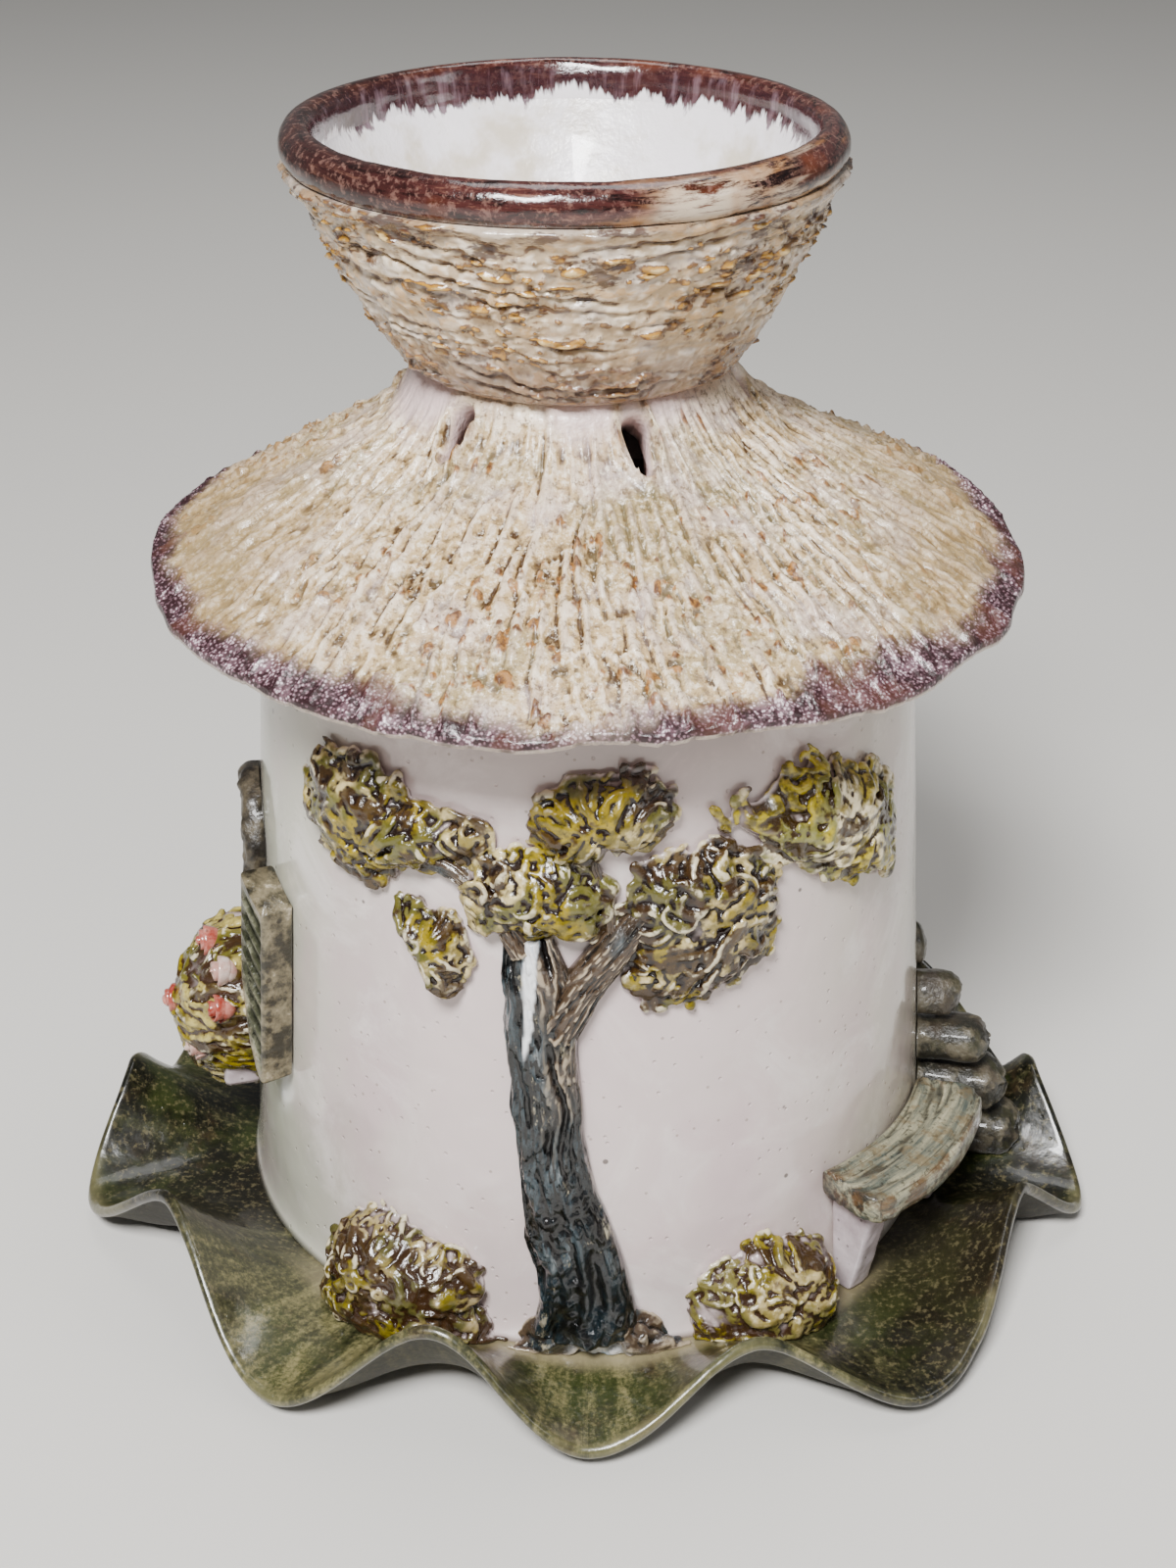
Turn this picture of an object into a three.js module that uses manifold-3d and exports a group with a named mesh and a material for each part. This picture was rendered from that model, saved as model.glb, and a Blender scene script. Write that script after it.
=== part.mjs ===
// House tea light holder: a round thatched cottage in glazed pottery, with a bowl on its roof.
// Millimetres, +Z up. The origin is on the wall's axis at table height, and the front faces -Y.
// An azimuth is in degrees round the house from the front, positive towards +X. A height on the
// wall is counted from the floor slab's top, and a reach outwards from the wall's surface.

import * as THREE from 'three';
import { mergeVertices } from 'three/addons/utils/BufferGeometryUtils.js';
import Module from 'manifold-3d';

// Clearances
const seam = 0.3; // between two pieces of clay that lie against each other
const lidPlay = 0.8; // round the locating ring inside the wall

// Floor slab and wall
const floorThickness = 5;
const wallFootRadius = 63.2;
const wallTopRadius = 54.6;
const wallHeight = 125;
const wallThickness = 5;

// Ruffled brim: each trough and crest as [azimuth, radius of its edge, lift of its edge]
const brimWaves = [
  [0, 88.5, 0], [20, 81, 11.5], [37.5, 95, 0], [65, 86, 12], [75, 95, 0],
  [90, 86, 14], [103, 86, 0], [122, 82, 10], [145, 94, 0], [163, 85, 15],
  [181, 91, 0], [198, 85, 17], [217, 94, 0], [240, 84, 12], [257, 86, 0],
  [270, 88.5, 14], [284, 96, 0], [302.5, 87, 17.5], [324.5, 93, 0], [342.5, 84.5, 18],
];
const brimSteepness = 1.6; // power by which the lift grows from the wall to the edge
const brimEdgeRound = 1.3;

// Roof
const eaveRadius = 73.2;
const eaveDrop = 4; // top of the eave's edge below the wall's top
const eaveThickness = 1.9;
const eaveWaviness = 1.2;
const roofRise = 33; // from the eave's edge to the neck
const roofThickness = 6.2;
const neckSkirt = 7; // straight part of the bore under the neck
const neckRadius = 25.6;
const neckWall = 5;
const neckFlare = 0.2; // share of the rise in the steep flare below the neck
const flareSharpness = 14;
const seatOverhang = 2.4; // flat seat past the wall's outer edge
const locatingRingWidth = 4;
const locatingRingDepth = 6;

// Vents round the neck
const ventCount = 6;
const firstVentAzimuth = 20;
const ventFromNeck = 3.2; // from the neck's radius to the vents' middle
const ventWidth = 4.8;
const ventLength = 10;
const ventTipWidth = 2.8;

// Bowl and its rolled rim
const bowlRise = 32; // from the neck to the rim's seat
const bowlTopRadius = 43.4;
const bowlFlare = 0.78; // power of the outside curve
const bowlWall = 5;
const bowlFloorThickness = 4.6;
const bowlFloorRadius = 21.5;
const rimRollWidth = 7;
const rimRollHeight = 7.6;
const rimRollLift = 2.6; // middle of the roll above its seat
const neckShift = -2.4; // the hand-built top leans over towards -X
const rimShift = -3.6;

// Door, taken at the brim's trough behind the right limb
const doorAzimuth = 110;
const doorHalfWidth = 22;
const doorSpringHeight = 23;
const doorArchRise = 0.8; // height of its arch for each unit of half width
const doorStoneWidth = 9.6;
const doorStoneRound = 3.6;
const doorStoneReaches = [20, 17, 14, 9, 3.2, 2.4, 2.2, 2.4, 3.2, 9, 14, 17, 20];

// Window with its hood, shutters, flower box and roses
const windowAzimuth = -83;
const windowHalfWidth = 7;
const windowSillHeight = 36;
const windowSpringHeight = 67;
const windowArchRise = 1.2;
const hoodWidth = 4.8;
const hoodReach = 4;
const hoodGap = 0.8; // between the window's edge and its hood
const hoodLegs = 4;
const shutterWidth = 9.5; // degrees
const shutterGap = 16.5; // degrees from the window's middle to each shutter
const shutterReach = 6;
const shutterFoot = 34.5;
const shutterTop = 68;
const shutterTopRise = 3.5; // towards the window
const shutterFootRise = 20;
const flowerBoxHalfWidth = 9.3; // degrees
const flowerBoxFoot = 21;
const flowerBoxTop = 33;
const flowerBoxReach = 7;
const roseBushReach = 16.5;
const roseBushRounding = 12;
const roseRadius = 3;
const roseSpots = [[-80, 48.5, 9], [-72.5, 47.5, 7.5], [-80, 37, 15], [-71, 41, 8.3], [-76, 30, 11.5]];

// Tree, bushes and bench: depths of the modelling above the wall
const foliageReach = 6;
const bushReach = 11;
const rootsReach = 3.6;
const benchNearEnd = 40.6;
const benchFarEnd = 76;
const benchReach = 13.6;
const benchNearHeight = 25;
const benchFarHeight = 21;
const benchThickness = 5.6;
const benchCorner = 4;
const frontLegInset = 1.7; // degrees from the bench's near end
const frontLegWidth = 5; // degrees
const backLegInset = 4.5; // degrees from the bench's far end
const backLegWidth = 4; // degrees
const bushToLeg = 1; // degrees from the right bush's end to the front leg

// Tea light
const cupRadius = 19;
const cupHeight = 16;
const cupSheet = 0.6;
const waxDepth = 12;
const waxPlay = 0.3;
const tabRadius = 6.5;
const tabThickness = 0.5;
const tabNeckRadius = 1.3;
const tabNeckHeight = 4;
const wickRadius = 0.7;
const wickRise = 4; // above the wax

// Places worked out from the sizes above
const wallTop = floorThickness + wallHeight;
const eaveTop = wallTop - eaveDrop;
const neckTop = eaveTop + roofRise;
const rimSeat = neckTop + bowlRise;
const ringOuterRadius = wallTopRadius - wallThickness - lidPlay;
const ringInnerRadius = ringOuterRadius - locatingRingWidth;
const millimetresPerDegree = THREE.MathUtils.degToRad((wallFootRadius + wallTopRadius) / 2);
const ventRadialPlace = neckRadius + ventFromNeck;
const frontLegNearEnd = benchNearEnd + frontLegInset;
const backLegNearEnd = benchFarEnd - backLegInset - backLegWidth;
const bushEnd = frontLegNearEnd - bushToLeg;
const fullTurn = 2 * Math.PI;

const wasm = await Module();
wasm.setup();

// Point at an azimuth, a radius and a height over the table
const polar = (azimuth, radius, z) => {
  const angle = THREE.MathUtils.degToRad(azimuth);
  return new THREE.Vector3(radius * Math.sin(angle), -radius * Math.cos(angle), z);
};

const wallRadiusAt = (height) =>
  wallFootRadius + (wallTopRadius - wallFootRadius) * height / wallHeight;

const onWall = (azimuth, height, reach) =>
  polar(azimuth, wallRadiusAt(height) + reach, floorThickness + height);

// Turns a geometry inside out if its faces point inwards
const facedOut = (geometry) => {
  const { array } = geometry.attributes.position;
  const index = geometry.index.array;
  const corner = (k) => new THREE.Vector3().fromArray(array, 3 * index[k]);
  let sixVolumes = 0;
  for (let k = 0; k < index.length; k += 3) {
    sixVolumes += corner(k).dot(corner(k + 1).cross(corner(k + 2)));
  }
  if (sixVolumes < 0) {
    for (let k = 0; k < index.length; k += 3) {
      [index[k + 1], index[k + 2]] = [index[k + 2], index[k + 1]];
    }
  }
  geometry.computeVertexNormals();
  return geometry;
};

// Closed skin over rings of points, each ring joined to the next. The rings join round to the
// first one when looped, and otherwise the two end rings are closed over their middles.
const skin = (rings, looped = false) => {
  const count = rings[0].length;
  const points = rings.flat();
  const triangles = [];
  const lastBand = looped ? rings.length : rings.length - 1;
  for (let band = 0; band < lastBand; band += 1) {
    const near = band * count;
    const far = ((band + 1) % rings.length) * count;
    for (let k = 0; k < count; k += 1) {
      const next = (k + 1) % count;
      triangles.push(near + k, near + next, far + next, near + k, far + next, far + k);
    }
  }
  if (!looped) {
    const middle = (ring) => ring.reduce((sum, p) => sum.add(p), new THREE.Vector3())
      .divideScalar(count);
    const lastRing = (rings.length - 1) * count;
    const startMiddle = points.push(middle(rings[0])) - 1;
    const endMiddle = points.push(middle(rings.at(-1))) - 1;
    for (let k = 0; k < count; k += 1) {
      const next = (k + 1) % count;
      triangles.push(startMiddle, next, k, endMiddle, lastRing + k, lastRing + next);
    }
  }
  const geometry = new THREE.BufferGeometry().setFromPoints(points);
  geometry.setIndex(triangles);
  return facedOut(geometry);
};

const solidOf = (geometry) => {
  const bare = geometry.clone();
  bare.deleteAttribute('normal');
  bare.deleteAttribute('uv');
  const merged = mergeVertices(bare);
  return new wasm.Manifold(new wasm.Mesh({
    numProp: 3,
    vertProperties: new Float32Array(merged.attributes.position.array),
    triVerts: new Uint32Array(merged.index.array),
  }));
};

// The first geometry less all the others
const carve = (geometry, cutters) => {
  const left = cutters.reduce((solid, cutter) => solid.subtract(solidOf(cutter)), solidOf(geometry));
  const { vertProperties, triVerts } = left.getMesh();
  const carved = new THREE.BufferGeometry();
  carved.setAttribute('position', new THREE.BufferAttribute(vertProperties, 3));
  carved.setIndex(new THREE.BufferAttribute(triVerts, 1));
  carved.computeVertexNormals();
  return carved;
};

// Body of revolution about Z from [radius, z] points
const turned = (profile, steps) =>
  new THREE.LatheGeometry(profile.map(([radius, z]) => new THREE.Vector2(radius, z)), steps)
    .rotateX(Math.PI / 2);

// Rings of points at equal steps of azimuth, one for each [radius, z] that profileAt returns
const hoops = (profileAt, steps) => {
  const sections = Array.from({ length: steps }, (_, k) => {
    const azimuth = 360 * k / steps;
    return profileAt(azimuth).map(([radius, z]) => polar(azimuth, radius, z));
  });
  return sections[0].map((_, row) => sections.map((section) => section[row]));
};

// The hand-built top drifts sideways as it rises above the wall
const lean = (geometry) => {
  const { position } = geometry.attributes;
  for (let k = 0; k < position.count; k += 1) {
    const z = position.getZ(k);
    const overWall = THREE.MathUtils.clamp((z - wallTop) / (neckTop - wallTop), 0, 1);
    const overNeck = Math.max(0, (z - neckTop) / bowlRise);
    const shift = neckShift * overWall + (rimShift - neckShift) * overNeck;
    position.setX(k, position.getX(k) + shift);
  }
  geometry.computeVertexNormals();
  return geometry;
};

// Lump of clay pressed on the wall over an outline of [azimuth, height] points. It stands out by
// reach in its middle and falls away by an elliptical rounding towards its outline.
const lump = (outline, reach, rounding, grow = 0) => {
  const middleOf = (axis) => outline.reduce((sum, p) => sum + p[axis], 0) / outline.length;
  const [middleAzimuth, middleHeight] = [middleOf(0), middleOf(1)];
  const ringAt = (share, out) => outline.map(([azimuth, height]) => {
    const across = (azimuth - middleAzimuth) * millimetresPerDegree;
    const up = height - middleHeight;
    const scale = share * (1 + grow / Math.hypot(across, up));
    return onWall(middleAzimuth + across * scale / millimetresPerDegree, middleHeight + up * scale, out);
  });
  const backShares = [0.35, 0.7, 1];
  const frontShares = [1, 0.9, 0.55];
  return skin([
    ...backShares.map((share) => ringAt(share, seam - grow)),
    ...frontShares.map((share) =>
      ringAt(share, seam + reach + grow - rounding * (1 - Math.sqrt(1 - share * share)))),
  ]);
};

// Evenly spaced points on a smooth closed curve through the outline's points
const smoothed = (outline, count) => {
  const corners = outline.map(([azimuth, height]) => new THREE.Vector3(azimuth, height, 0));
  const curve = new THREE.CatmullRomCurve3(corners, true, 'centripetal');
  return curve.getSpacedPoints(count).slice(0, count).map((p) => [p.x, p.y]);
};

// Branch laid on the wall through [azimuth, height, half width] points, half round in section
const branch = (stations, depthShare, steps, grow = 0) => {
  const curve = new THREE.CatmullRomCurve3(stations.map(([azimuth, height, half]) =>
    new THREE.Vector3(azimuth * millimetresPerDegree, height, half)));
  const frontSteps = 6;
  const backSteps = 3;
  const rimDepth = 0.8;
  const sections = Array.from({ length: steps + 1 }, (_, k) => {
    const place = curve.getPoint(k / steps);
    const along = curve.getTangent(k / steps).setZ(0).normalize();
    const half = place.z + grow;
    const pointAt = (share, out) => onWall(
      (place.x - along.y * half * share) / millimetresPerDegree,
      place.y + along.x * half * share,
      out,
    );
    const front = Array.from({ length: frontSteps + 1 }, (_, step) => {
      const share = 2 * step / frontSteps - 1;
      const depth = rimDepth + (place.z * depthShare - rimDepth) * Math.sqrt(1 - share * share);
      return pointAt(share, seam + depth + grow);
    });
    const back = Array.from({ length: backSteps + 1 }, (_, step) =>
      pointAt(1 - 2 * step / backSteps, seam - grow));
    return [...front, ...back];
  });
  return skin(sections);
};

// Slab that follows the wall between two azimuths; sectionAt gives its [reach, height] corners
const wallSlab = (fromAzimuth, toAzimuth, steps, sectionAt) =>
  skin(Array.from({ length: steps + 1 }, (_, k) => {
    const share = k / steps;
    const azimuth = THREE.MathUtils.lerp(fromAzimuth, toAzimuth, share);
    return sectionAt(azimuth, share).map(([reach, height]) => onWall(azimuth, height, reach));
  }));

// Block with an arched top that passes through the wall, to cut a door or a window
const archedCutter = (azimuth, halfWidth, foot, spring, archRise) => {
  const shape = new THREE.Shape();
  shape.moveTo(halfWidth, floorThickness + foot);
  shape.lineTo(halfWidth, floorThickness + spring);
  shape.absellipse(0, floorThickness + spring, halfWidth, archRise * halfWidth, 0, Math.PI, false, 0);
  shape.lineTo(-halfWidth, floorThickness + foot);
  const depth = wallFootRadius;
  return new THREE.ExtrudeGeometry(shape, { depth, bevelEnabled: false, curveSegments: 10 })
    .rotateX(Math.PI / 2)
    .translate(0, -wallTopRadius / 2, 0)
    .rotateZ(THREE.MathUtils.degToRad(azimuth));
};

// Brim edge's radius and lift at an azimuth, eased between neighbouring troughs and crests
const brimEdgeAt = (azimuth) => {
  const last = brimWaves.findLastIndex(([start]) => start <= azimuth);
  const [fromAzimuth, fromRadius, fromLift] = brimWaves[last];
  const [toAzimuth, toRadius, toLift] = brimWaves[(last + 1) % brimWaves.length];
  const span = (toAzimuth - fromAzimuth + 360) % 360;
  const ease = (1 - Math.cos(Math.PI * (azimuth - fromAzimuth) / span)) / 2;
  return [THREE.MathUtils.lerp(fromRadius, toRadius, ease), THREE.MathUtils.lerp(fromLift, toLift, ease)];
};

// The floor slab and its brim. As a cutter it is grown by a seam and deepened under its top.
const baseSaucer = (grow = 0, deepen = 0) => {
  const shares = [0, 0.25, 0.5, 0.75, 1];
  const steps = 80;
  return skin(hoops((azimuth) => {
    const [edgeRadius, edgeLift] = brimEdgeAt(azimuth);
    const at = (share, up) => [
      THREE.MathUtils.lerp(wallFootRadius, edgeRadius - brimEdgeRound, share),
      edgeLift * share ** brimSteepness + up,
    ];
    const [, edgeMiddle] = at(1, floorThickness / 2);
    return [
      ...shares.map((share) => at(share, -deepen)),
      [edgeRadius + grow, edgeMiddle],
      ...shares.toReversed().map((share) => at(share, floorThickness + grow)),
    ];
  }, steps));
};

const wall = () => {
  const tube = skin(hoops(() => [
    [wallFootRadius - wallThickness, floorThickness],
    [wallFootRadius, floorThickness],
    [wallTopRadius, wallTop],
    [wallTopRadius - wallThickness, wallTop],
  ], 72), true);
  const belowFloor = -1;
  return carve(tube, [
    archedCutter(doorAzimuth, doorHalfWidth, belowFloor, doorSpringHeight, doorArchRise),
    archedCutter(windowAzimuth, windowHalfWidth, windowSillHeight, windowSpringHeight, windowArchRise),
  ]);
};

// Stones rolled from clay, laid side by side up one leg of the door, round its arch and down the
// other leg. Their outlines are rounded squares that follow this line.
const doorStones = (base) => {
  const lineRadius = doorHalfWidth + doorStoneWidth / 2 + seam;
  const pathLength = 2 * doorSpringHeight + Math.PI * lineRadius;
  const pitch = pathLength / doorStoneReaches.length;
  const sides = 12;
  const squareness = 0.7;
  const rounded = (wave) => Math.sign(wave) * Math.abs(wave) ** squareness;
  const placeAt = (travelled, outwards) => {
    const turn = THREE.MathUtils.clamp((travelled - doorSpringHeight) / lineRadius, 0, Math.PI);
    const leg = Math.min(travelled, pathLength - travelled, doorSpringHeight);
    const radius = lineRadius + outwards;
    return [
      doorAzimuth - radius * Math.cos(turn) / millimetresPerDegree,
      leg + doorArchRise * radius * Math.sin(turn),
    ];
  };
  return doorStoneReaches.map((reach, k) => {
    const outline = Array.from({ length: sides }, (_, corner) => {
      const angle = fullTurn * (corner + 0.5) / sides;
      return placeAt(
        (k + 0.5) * pitch + rounded(Math.sin(angle)) * (pitch / 2 - seam),
        rounded(Math.cos(angle)) * doorStoneWidth / 2,
      );
    });
    return carve(lump(outline, reach, Math.min(doorStoneRound, reach - 1)), [base]);
  });
};

// Outlines of the foliage clumps as [azimuth, height] points
const foliageOutlines = {
  foliage_far_left: [
    [-49.8, 91.6], [-48, 100], [-44.6, 102.3], [-31.8, 100.4], [-24, 98.5], [-17, 95.3],
    [-21.2, 91.2], [-30, 88], [-38.9, 83.5], [-45.9, 85.2],
  ],
  foliage_top: [[-8.4, 98.5], [-1.5, 106.5], [12.3, 103.4], [10, 96.3], [0, 93.5], [-6, 95]],
  foliage_centre: [
    [-20, 88.5], [-10, 93.2], [-1.5, 91.5], [3, 86], [1, 81.4], [-6, 80.8], [-12.3, 79.5], [-18.7, 78],
  ],
  foliage_low_left: [
    [-31.5, 80.5], [-21.5, 80], [-19.8, 76], [-19.4, 70], [-22, 66.5], [-25, 71], [-28.5, 76],
  ],
  foliage_right: [
    [5.5, 79.5], [7.6, 88], [15.4, 95.5], [22, 94.4], [27.5, 89], [30.9, 82], [25.4, 70.9],
    [18.7, 67.2], [9, 70],
  ],
  foliage_far_right: [
    [25, 98], [31, 102], [38.9, 101.5], [54, 95], [60.5, 85], [58.5, 75], [50, 78.5],
    [42, 82.5], [34, 87], [29, 91.5],
  ],
};

const clumpOutlines = {
  bush_left: [
    [-46, -3], [-45, 8], [-41, 15.5], [-35, 20.9], [-25, 18], [-16.5, 12.7], [-14.5, 4],
    [-15, -3], [-31, -5],
  ],
  bush_right: [
    [15.5, -3], [16, 8], [24, 17], [32, 16.5], [bushEnd - 4, 12], [bushEnd, 4], [bushEnd - 0.5, -3],
    [28, -5],
  ],
  tree_roots: [[-13.5, -3], [-12.5, 4.5], [-6.5, 9], [2, 10], [9, 8.5], [14, 5], [14.5, -3], [0, -5]],
};

const roseBushOutline = [
  [-69, 43], [-71, 48], [-76, 50.5], [-85, 51], [-94, 45], [-96, 34], [-92, 24], [-86, 17],
  [-80, 16], [-76, 21], [-72.5, 28], [-69.5, 36],
];

const trunk = (grow) => branch([
  [-0.5, 4, 8.2], [-0.5, 14, 7.1], [-2.8, 24, 6.9], [-5, 34, 5.7], [-6.6, 53, 5.6], [-7.4, 68, 5.8],
  [-9.4, 78.5, 4],
], 0.6, 11, grow);

const limbs = (grow) => ({
  tree_limb_right: branch([[-5, 62, 3.6], [-1, 70, 3.4], [3.6, 77, 3.2], [9, 83.5, 2.4]], 1, 6, grow),
  tree_limb_left: branch([[-10, 76, 2.2], [-14, 83.5, 2], [-20, 88.5, 1.8], [-29, 90.5, 1.4]], 1.2, 7, grow),
  tree_twig: branch([[3.6, 80, 1], [3, 86, 0.9], [1, 91.5, 0.8], [0.5, 97, 0.7]], 1.8, 5, grow),
});

const foliage = (name, grow) =>
  lump(smoothed(foliageOutlines[name], 18), foliageReach, foliageReach - 1.2, grow);

const clump = (name, reach, grow = 0) =>
  lump(smoothed(clumpOutlines[name], 18), reach, reach - 3, grow);

const benchSeat = (grow = 0) => {
  const lengthwise = (benchFarEnd - benchNearEnd) * millimetresPerDegree;
  const growDegrees = grow / millimetresPerDegree;
  const sectionAt = (azimuth, share) => {
    const fromEnd = Math.min(share, 1 - share) * lengthwise;
    const short = Math.max(0, benchCorner - fromEnd);
    const reach = benchReach - benchCorner + Math.sqrt(benchCorner ** 2 - short ** 2) + grow;
    const top = THREE.MathUtils.lerp(benchNearHeight, benchFarHeight, share) + grow;
    const foot = top - benchThickness - 2 * grow;
    const edge = benchThickness / 4;
    return [
      [seam - grow, foot], [reach - edge, foot], [reach, foot + edge], [reach, top - edge],
      [reach - edge, top], [seam - grow, top],
    ];
  };
  return wallSlab(benchNearEnd - growDegrees, benchFarEnd + growDegrees, 16, sectionAt);
};

// Bench leg from one azimuth on, with its reach under the seat and at the foot
const frontLeg = { from: frontLegNearEnd, width: frontLegWidth, topReach: 10, footReach: 5 };
const backLeg = { from: backLegNearEnd, width: backLegWidth, topReach: 9, footReach: 5 };
const benchLeg = ({ from, width, topReach, footReach }, grow, base) => {
  const belowFloor = -2;
  const growDegrees = grow / millimetresPerDegree;
  const leg = wallSlab(from - growDegrees, from + width + growDegrees, 3, () => [
    [seam - grow, belowFloor], [footReach + grow, belowFloor], [topReach + grow, benchFarHeight],
    [seam - grow, benchFarHeight],
  ]);
  return carve(leg, [base, benchSeat(seam)]);
};

// Shutter on one side of the window: side is +1 towards the front and -1 towards the back. It
// narrows downwards, because its foot runs up towards the window.
const shutter = (side, grow = 0) => {
  const innerEnd = windowAzimuth + side * (shutterGap - grow / millimetresPerDegree);
  const outerEnd = innerEnd + side * (shutterWidth + 2 * grow / millimetresPerDegree);
  const edge = 1;
  return wallSlab(innerEnd, outerEnd, 5, (_, share) => {
    const front = shutterReach + grow;
    const foot = shutterFoot + shutterFootRise * (1 - share) ** 2 - grow;
    const top = shutterTop + shutterTopRise * (1 - share) + grow;
    return [
      [seam - grow, foot], [front - edge, foot], [front, foot + edge],
      [front, top - edge], [front - edge, top], [seam - grow, top],
    ];
  });
};

const windowHood = () => {
  const half = hoodWidth / 2;
  const lineRadius = windowHalfWidth + hoodGap + half;
  const steps = 8;
  const arch = Array.from({ length: steps + 1 }, (_, k) => {
    const angle = Math.PI * k / steps;
    return [
      windowAzimuth + lineRadius * Math.cos(angle) / millimetresPerDegree,
      windowSpringHeight + windowArchRise * lineRadius * Math.sin(angle),
      half,
    ];
  });
  const legAt = ([azimuth, height]) => [azimuth, height - hoodLegs, half];
  return branch([legAt(arch[0]), ...arch, legAt(arch.at(-1))], hoodReach / half, 14);
};

const flowerBox = (grow = 0) => {
  const halfWidth = flowerBoxHalfWidth + grow / millimetresPerDegree;
  return wallSlab(windowAzimuth - halfWidth, windowAzimuth + halfWidth, 8, () => [
    [seam - grow, flowerBoxFoot - grow], [flowerBoxReach + grow, flowerBoxFoot - grow],
    [flowerBoxReach + grow, flowerBoxTop + grow], [seam - grow, flowerBoxTop + grow],
  ]);
};

// Rose rolled from a ribbon, facing straight out of the wall, with a dimple in its middle. Its
// profile is in shares of its radius.
const roseOutside = [[0, -0.65], [0.7, -0.55], [1, 0], [0.85, 0.55], [0.5, 0.7]];
const roseDimple = [[0.3, 0.4], [0, 0.35]];
const roseAt = ([azimuth, height, reach], size, middle) => {
  const place = onWall(azimuth, height, reach);
  return turned([...roseOutside, ...middle].map(([radius, out]) => [radius * size, out * size]), 8)
    .rotateX(Math.PI / 2)
    .rotateZ(THREE.MathUtils.degToRad(azimuth))
    .translate(place.x, place.y, place.z);
};

const rose = (spot) => roseAt(spot, roseRadius, roseDimple);
const roseBed = (spot) => roseAt(spot, roseRadius + seam, [[0, 0.75]]);

const roseBush = () => carve(
  lump(smoothed(roseBushOutline, 18), roseBushReach, roseBushRounding),
  [flowerBox(seam), ...roseSpots.map(roseBed)],
);

// Height of the thatch's surface at a radius, with the flare that runs up to the neck
const thatchHeightAt = (radius) => {
  const inwards = (eaveRadius - radius) / (eaveRadius - neckRadius);
  return eaveTop + roofRise * ((1 - neckFlare) * inwards + neckFlare * inwards ** flareSharpness);
};

const thatchShell = () => {
  const outsideShares = [0, 0.04, 0.09, 0.16, 0.3, 0.55, 0.8, 0.93, 1];
  const insideShares = [0, 0.45, 0.85];
  const boreRadius = neckRadius - neckWall;
  return skin(hoops((azimuth) => {
    const angle = THREE.MathUtils.degToRad(azimuth);
    const wave = eaveWaviness * (0.6 * Math.sin(3 * angle + 0.6) + 0.4 * Math.sin(7 * angle));
    const outside = outsideShares.map((share) => {
      const radius = THREE.MathUtils.lerp(neckRadius, eaveRadius, share);
      return [radius, thatchHeightAt(radius) + wave * share ** 6];
    });
    const inside = insideShares.map((share) => {
      const radius = THREE.MathUtils.lerp(ringInnerRadius, boreRadius, share);
      return [radius, thatchHeightAt(Math.max(radius, neckRadius)) - roofThickness * (1 + 0.5 * share)];
    });
    return [
      ...outside,
      [eaveRadius - 0.6, eaveTop - eaveThickness + wave],
      [wallTopRadius + seatOverhang, wallTop],
      [ringInnerRadius, wallTop],
      ...inside,
      [boreRadius, neckTop - neckSkirt],
      [boreRadius, neckTop],
    ];
  }, 48), true);
};

// Keyhole vents cut square to the thatch below the neck, wide at the top
const ventCutters = () => {
  const shape = new THREE.Shape();
  const [wide, narrow] = [ventWidth / 2, ventTipWidth / 2];
  shape.absarc(0, ventLength / 2 - wide, wide, 0, Math.PI, false);
  shape.absarc(0, narrow - ventLength / 2, narrow, Math.PI, fullTurn, false);
  const depth = 4 * roofThickness;
  const probe = 1.5;
  const rise = thatchHeightAt(ventRadialPlace - probe) - thatchHeightAt(ventRadialPlace + probe);
  const slope = Math.atan2(rise, 2 * probe);
  return Array.from({ length: ventCount }, (_, k) => {
    const azimuth = firstVentAzimuth + 360 * k / ventCount;
    const place = polar(azimuth, ventRadialPlace, thatchHeightAt(ventRadialPlace));
    return new THREE.ExtrudeGeometry(shape, { depth, bevelEnabled: false, curveSegments: 4 })
      .translate(0, 0, -depth / 2)
      .rotateX(slope)
      .rotateZ(THREE.MathUtils.degToRad(azimuth))
      .translate(place.x, place.y, place.z);
  });
};

const thatchRoof = () => lean(carve(thatchShell(), ventCutters()));

const locatingRing = () => turned([
  [ringInnerRadius, wallTop - locatingRingDepth], [ringOuterRadius, wallTop - locatingRingDepth],
  [ringOuterRadius, wallTop], [ringInnerRadius, wallTop], [ringInnerRadius, wallTop - locatingRingDepth],
], 48);

const bowlRadiusAt = (height) =>
  neckRadius + (bowlTopRadius - neckRadius) * (height / bowlRise) ** bowlFlare;

const bowl = () => {
  const outsideHeights = [0, 0.16, 0.36, 0.62, 0.82, 1].map((share) => share * bowlRise);
  const insideHeights = [1, 0.82, 0.6, 0.4, 0.27].map((share) => share * bowlRise);
  return lean(skin(hoops(() => [
    ...outsideHeights.map((height) => [bowlRadiusAt(height), neckTop + height]),
    ...insideHeights.map((height) => [bowlRadiusAt(height) - bowlWall, neckTop + height]),
    [(bowlFloorRadius + bowlRadiusAt(bowlFloorThickness) - bowlWall) / 2 + 1, neckTop + bowlFloorThickness + 0.9],
    [bowlFloorRadius, neckTop + bowlFloorThickness],
  ], 48)));
};

// Thick roll of clay on the bowl's edge, flat where it sits
const bowlRim = () => {
  const rollRadius = bowlTopRadius - bowlWall / 2;
  const start = -Math.asin(rimRollLift / (rimRollHeight / 2));
  const steps = 9;
  const section = Array.from({ length: steps + 1 }, (_, k) => {
    const angle = start + (Math.PI - 2 * start) * k / steps;
    return [
      rollRadius + rimRollWidth / 2 * Math.cos(angle),
      rimSeat + rimRollLift + rimRollHeight / 2 * Math.sin(angle),
    ];
  });
  return lean(skin(hoops(() => section, 48), true));
};

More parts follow.
